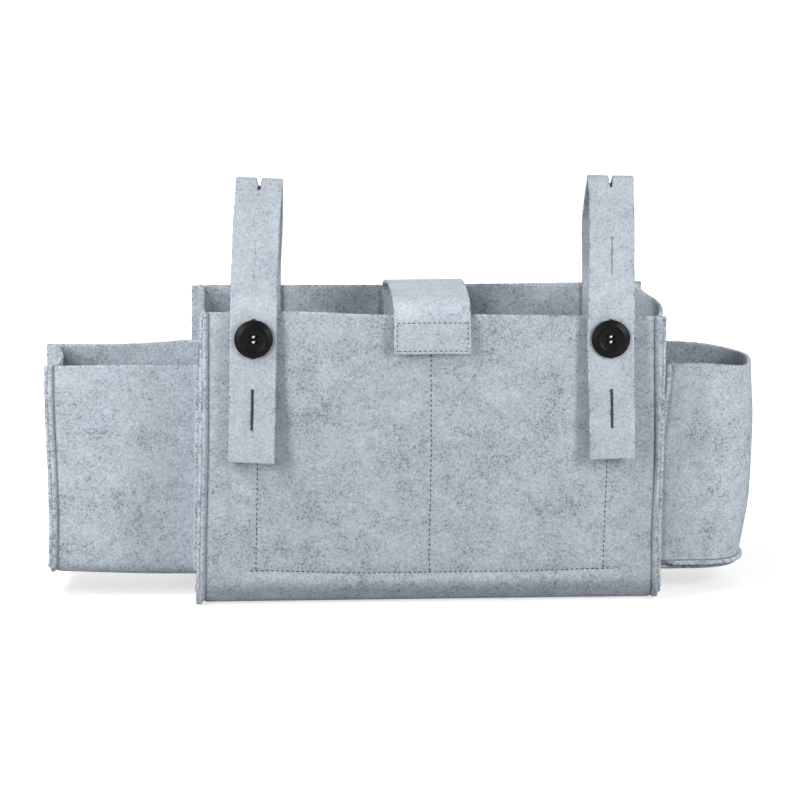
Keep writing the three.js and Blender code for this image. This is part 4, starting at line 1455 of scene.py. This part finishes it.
def floor_material():
    """White floor: it takes the caddy's shadow near it, and is plain white further away.

    For the camera a glow is added to the lit floor. The bounce on the caddy comes from a grey floor.
    """
    glow = bpy.context.scene.caddy_studio.floor_glow
    material, tree, shader = new_material("white_floor")
    seen = seen_directly(tree)
    place = add_node(tree, "ShaderNodeTexCoord").outputs["Object"]
    reach = add_node(tree, "ShaderNodeVectorMath", {"operation": "LENGTH"}, {0: place}).outputs["Value"]
    away = stepped(tree, reach, *FLOOR_PLAIN_FROM_TO)
    strength = add_node(tree, "ShaderNodeMapRange", None, {"Value": away, "To Min": glow, "To Max": 1.0})
    feed(tree, shader, {
        "Base Color": mixed(tree, seen, FLOOR_BOUNCE, FLOOR_SEEN),
        "Roughness": 1.0,
        "Specular IOR Level": 0.0,
        "Emission Color": (1, 1, 1, 1),
        "Emission Strength": math(tree, "MULTIPLY", strength.outputs[0], seen),
    })
    return material


# Operators


class CaddyOperator(bpy.types.Operator):
    """Shared settings of the caddy's operators."""

    bl_options = {"REGISTER", "UNDO"}


PANEL_SKEW = 0.44
GUSSET_SKEW = 0.4


class CADDY_OT_body(CaddyOperator):
    """Main compartment: the folded sheet, both side panels and the slip pocket"""

    bl_idname = "caddy.body"
    bl_label = "Main compartment"

    def execute(self, context):
        stations = body_stations()
        felt_piece("main_felt", main_sheet(), ["main_sling"], "caddy")
        for side, sign, bow in (("left", -1, 0), ("right", 1, PANEL_BOW)):
            panel = end_panel(stations, sign * BODY_SEAM, sign, bow, PANEL_BOW_BASE, PANEL_SKEW)
            felt_piece(f"{side}_side_felt", panel, [f"{side}_side_panel"], "caddy")
        felt_piece("slip_pocket_felt", slip_sheet(), ["inner_pocket_panel"], "caddy")
        return {"FINISHED"}


LEFT_OUTSIDE_PAINTED_SHADE = 0.05
LEFT_INSIDE_PAINTED_LIGHT = -0.06
LEFT_INSIDE_FROM = 10 * MM


class CADDY_OT_left_pocket(CaddyOperator):
    """Boxy left pocket: its folded sheet and its gusset"""

    bl_idname = "caddy.left_pocket"
    bl_label = "Left pocket"

    def execute(self, context):
        stations = left_stations()
        sheet = folded_sheet(stations, sewn_edge(stations, LEFT_SEAM), flange_edge(stations, -POCKET_END))
        # Painted shade darkens the pocket's outside and painted light lightens its inside, on one sheet of
        # felt.
        sheet.tone += np.where(sheet.points[:, 1] < LEFT_INSIDE_FROM, LEFT_OUTSIDE_PAINTED_SHADE, LEFT_INSIDE_PAINTED_LIGHT)
        nodes = ["left_pocket_sling"]
        felt_piece("left_pocket_felt", sheet, nodes, "caddy")
        gusset = end_panel(stations, LEFT_SEAM, -1, GUSSET_BOW, GUSSET_BOW_BASE, GUSSET_SKEW)
        nodes = ["left_pocket_gusset"]
        felt_piece("left_gusset_felt", gusset, nodes, "caddy")
        return {"FINISHED"}


class CADDY_OT_bottle_pocket(CaddyOperator):
    """Round-ended bottle pocket: its wall and its base"""

    bl_idname = "caddy.bottle_pocket"
    bl_label = "Bottle pocket"

    def execute(self, context):
        nodes = ["right_pocket_wall"]
        felt_piece("bottle_wall_felt", bottle_wall(), nodes, "caddy")
        nodes = ["right_pocket_base"]
        felt_piece("bottle_base_felt", bottle_base(), nodes, "caddy")
        return {"FINISHED"}


class CADDY_OT_straps(CaddyOperator):
    """Two hanging straps, each one band that bends at its fold"""

    bl_idname = "caddy.straps"
    bl_label = "Straps"

    def execute(self, context):
        for side, x in STRAP_X.items():
            nodes = [f"{side}_strap_rear_ply", f"{side}_strap_front_ply"]
            sheet = strap_sheet(side)
            strap = felt_piece(f"{side}_strap_felt", sheet, nodes, pulls=False)
            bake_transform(strap)
        return {"FINISHED"}


class CADDY_OT_tab(CaddyOperator):
    """Closure tab and its hook and loop tapes"""

    bl_idname = "caddy.tab"
    bl_label = "Closure tab"

    def execute(self, context):
        nodes = ["closure_tab", "closure_tab_anchor"]
        tab = felt_piece("tab_felt", tab_sheet(), nodes)
        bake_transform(tab)
        tape_piece("hook_tape", "tab_hook_patch", "closure_tab", tape_material("hook_tape", 0.75, 0.25))
        tape_piece("loop_tape", "panel_loop_patch", "caddy", tape_material("loop_tape", 1.1, 1.0))
        return {"FINISHED"}


class CADDY_OT_buttons(CaddyOperator):
    """Two four-hole buttons with their thread"""

    bl_idname = "caddy.buttons"
    bl_label = "Buttons"

    def execute(self, context):
        for side, x in STRAP_X.items():
            lean = np.interp(SLIT_PLACES[1], STRAP_LEAN_AT, STRAP_LEAN[side])
            centre = settle(np.array([x + lean, BUTTON_BACK, BUTTON_Z + BUTTON_LIFT[side]]), False)
            body = f"{side}_button"
            button_piece(f"{side}_round_button", centre, f"{side}_button", body)
            thread_piece(f"{side}_button_sewing", centre, f"{side}_button_thread", body)
        return {"FINISHED"}


# Rows of stitches: how deep they lie, and the boxes that sew the straps and the tab to the back.
UPRIGHT_LIES = 0.24
LEVEL_LIES = 0.5
LEVEL_ENDS = (-SLIP_SEAM - 4 * MM, SLIP_SEAM + 9 * MM)
STRAP_BOX_HALF = 12 * MM
STRAP_BOX_Z = np.array([172, 204]) * MM
TAB_ROWS_Z = np.array([192, 206]) * MM
TAB_ROW_INSET = 4 * MM
TAB_BOX_X = (TAB_SIDES[0] + 1.6 * MM, TAB_SIDES[1] - 2.0 * MM)


class CADDY_OT_stitches(CaddyOperator):
    """Every row of stitches"""

    bl_idname = "caddy.stitches"
    bl_label = "Stitches"

    def execute(self, context):
        half = context.scene.caddy_sizes.felt / 2
        face = BODY_FRONT - half
        upright = face + UPRIGHT_LIES * PRESSED
        lines = [
            between((low, upright, level_row(low)), (high, upright, SLIP_TOP - 2 * MM))
            for low, high in UPRIGHT_ROWS
        ]
        level = between(*((x, face + LEVEL_LIES * PRESSED, 0) for x in LEVEL_ENDS))
        level[:, 2] = level_row(level[:, 0])
        rows = [stitch_run(*surface_line(line, (0, -1, 0))) for line in (*lines, level)]
        stitch_piece("slip_pocket_stitches", rows, "caddy")

        body, left = body_stations(), left_stations()
        seams = ((body, -BODY_SEAM, -1), (body, BODY_SEAM, 1), (left, LEFT_SEAM, -1))
        stitch_piece("seam_stitches", [stitch_run(*fin_line(*seam)) for seam in seams], "caddy")

        lines = []
        for x in STRAP_X.values():
            lines += box_sides(x - STRAP_BOX_HALF, x + STRAP_BOX_HALF, *STRAP_BOX_Z)
        for z in TAB_ROWS_Z:
            lines.append(between((TAB_SIDES[0] + TAB_ROW_INSET, z), (TAB_SIDES[1] - TAB_ROW_INSET, z)))
        lines = [np.insert(line, 1, BODY_BACK + half, axis=1) for line in lines]
        boxes = [stitch_run(*surface_line(line, (0, 1, 0))) for line in lines]
        stitch_piece("back_stitches", boxes, "caddy")

        box = [stitch_run(*tab_face(side)) for side in box_sides(*TAB_BOX_X, *TAB_BOX)]
        stitch_piece("tab_stitches", box, "closure_tab")
        return {"FINISHED"}


# Lights: place, and width and height, in metres.
LAMPS = {
    "left": ((-0.52, -0.45, 0.36), (0.14, 0.3)),
    "right": ((0.52, -0.45, 0.36), (0.14, 0.3)),
    "top": ((-0.85, -0.53, 1.22), (0.45, 0.45)),
    "back": ((0.3, 0.9, 0.62), (0.7, 0.5)),
}
LAMPS_AIM = Vector((0, 0, 0.12))


class CADDY_OT_stage(CaddyOperator):
    """Floor, camera and light"""

    bl_idname = "caddy.stage"
    bl_label = "Stage"

    def execute(self, context):
        studio = context.scene.caddy_studio
        add_floor()
        add_camera(studio)
        for label, (place, size) in LAMPS.items():
            add_lamp(f"{label}_light", place, size, getattr(studio, label))
        add_world(studio.ambient)
        context.scene.view_settings.view_transform = "Standard"
        return {"FINISHED"}


FLOOR_REACH = 12.0


def add_floor():
    """Flat square floor under the caddy."""
    corners = np.array([(-1, -1, 0), (1, -1, 0), (1, 1, 0), (-1, 1, 0)]) * FLOOR_REACH
    floor = mesh_object("floor", corners, [[0, 1, 2, 3]], floor_material())


CAMERA_TARGET = Vector((-0.0173, 0.002, 0.1396))


def add_camera(studio):
    """Camera at the photograph's angle: back along azimuth and elevation from its target, then rolled."""
    a, e, r = studio.azimuth, studio.elevation, studio.roll
    back = Vector((np.sin(a) * np.cos(e), -np.cos(a) * np.cos(e), np.sin(e)))
    right = Vector((0, 0, 1)).cross(back).normalized()
    up = back.cross(right)
    turned_right = right * np.cos(r) + up * np.sin(r)
    turned_up = up * np.cos(r) - right * np.sin(r)
    data = bpy.data.cameras.new("camera")
    data.lens = studio.lens
    data.clip_end = 100
    camera = bpy.data.objects.new("camera", data)
    bpy.context.scene.collection.objects.link(camera)
    place = CAMERA_TARGET + back * studio.distance
    axes = Matrix((turned_right, turned_up, back)).transposed()
    camera.matrix_world = Matrix.Translation(place) @ axes.to_4x4()
    bpy.context.scene.camera = camera


def add_lamp(name, place, size, power):
    """Soft light of a width and a height that points at the middle of the caddy."""
    data = bpy.data.lights.new(name, "AREA")
    data.shape = "RECTANGLE"
    data.size, data.size_y = size
    data.energy = power
    lamp = bpy.data.objects.new(name, data)
    lamp.visible_camera = False
    bpy.context.scene.collection.objects.link(lamp)
    aim = LAMPS_AIM - Vector(place)
    lamp.matrix_world = Matrix.Translation(place) @ aim.to_track_quat("-Z", "Y").to_matrix().to_4x4()


WORLD_COLOUR = (0.985, 0.995, 1.0, 1)


def add_world(strength):
    """Soft light from all round, and white for the camera and for reflections."""
    world = bpy.data.worlds.new("studio")
    world.use_nodes = True
    tree = world.node_tree
    inputs = {"Value": seen_directly(tree), "To Min": strength, "To Max": 1.0}
    light = add_node(tree, "ShaderNodeMapRange", None, inputs)
    feed(tree, tree.nodes["Background"], {"Color": WORLD_COLOUR, "Strength": light.outputs[0]})
    bpy.context.scene.world = world


class CADDY_PT_panel(bpy.types.Panel):
    """Lists the caddy's steps and values"""

    bl_idname = "CADDY_PT_panel"
    bl_label = "Felt bedside caddy"
    bl_space_type = "VIEW_3D"
    bl_region_type = "UI"
    bl_category = "Caddy"

    def draw(self, context):
        for step in STEPS:
            self.layout.operator(step.bl_idname)
        for group in GROUPS:
            values = getattr(context.scene, group)
            for label in values.bl_rna.properties.keys():
                if label not in ("rna_type", "name"):
                    self.layout.prop(values, label)


STEPS = (
    CADDY_OT_stage,
    CADDY_OT_body,
    CADDY_OT_left_pocket,
    CADDY_OT_bottle_pocket,
    CADDY_OT_straps,
    CADDY_OT_tab,
    CADDY_OT_buttons,
    CADDY_OT_stitches,
)
GROUPS = {"caddy_sizes": CaddySizes, "caddy_finish": CaddyFinish, "caddy_studio": CaddyStudio}


def register():
    """Registers the classes and puts the value groups on the scene."""
    for cls in (*GROUPS.values(), *STEPS, CADDY_PT_panel):
        bpy.utils.register_class(cls)
    for label, cls in GROUPS.items():
        setattr(bpy.types.Scene, label, PointerProperty(type=cls))


def unregister():
    """Takes the value groups and the classes away again."""
    for label in GROUPS:
        delattr(bpy.types.Scene, label)
    for cls in (CADDY_PT_panel, *reversed(STEPS), *reversed(list(GROUPS.values()))):
        bpy.utils.unregister_class(cls)


def main():
    """Builds the caddy."""
    register()
    for step in STEPS:
        family, name = step.bl_idname.split(".")
        getattr(getattr(bpy.ops, family), name)()


if __name__ == "__main__":
    main()
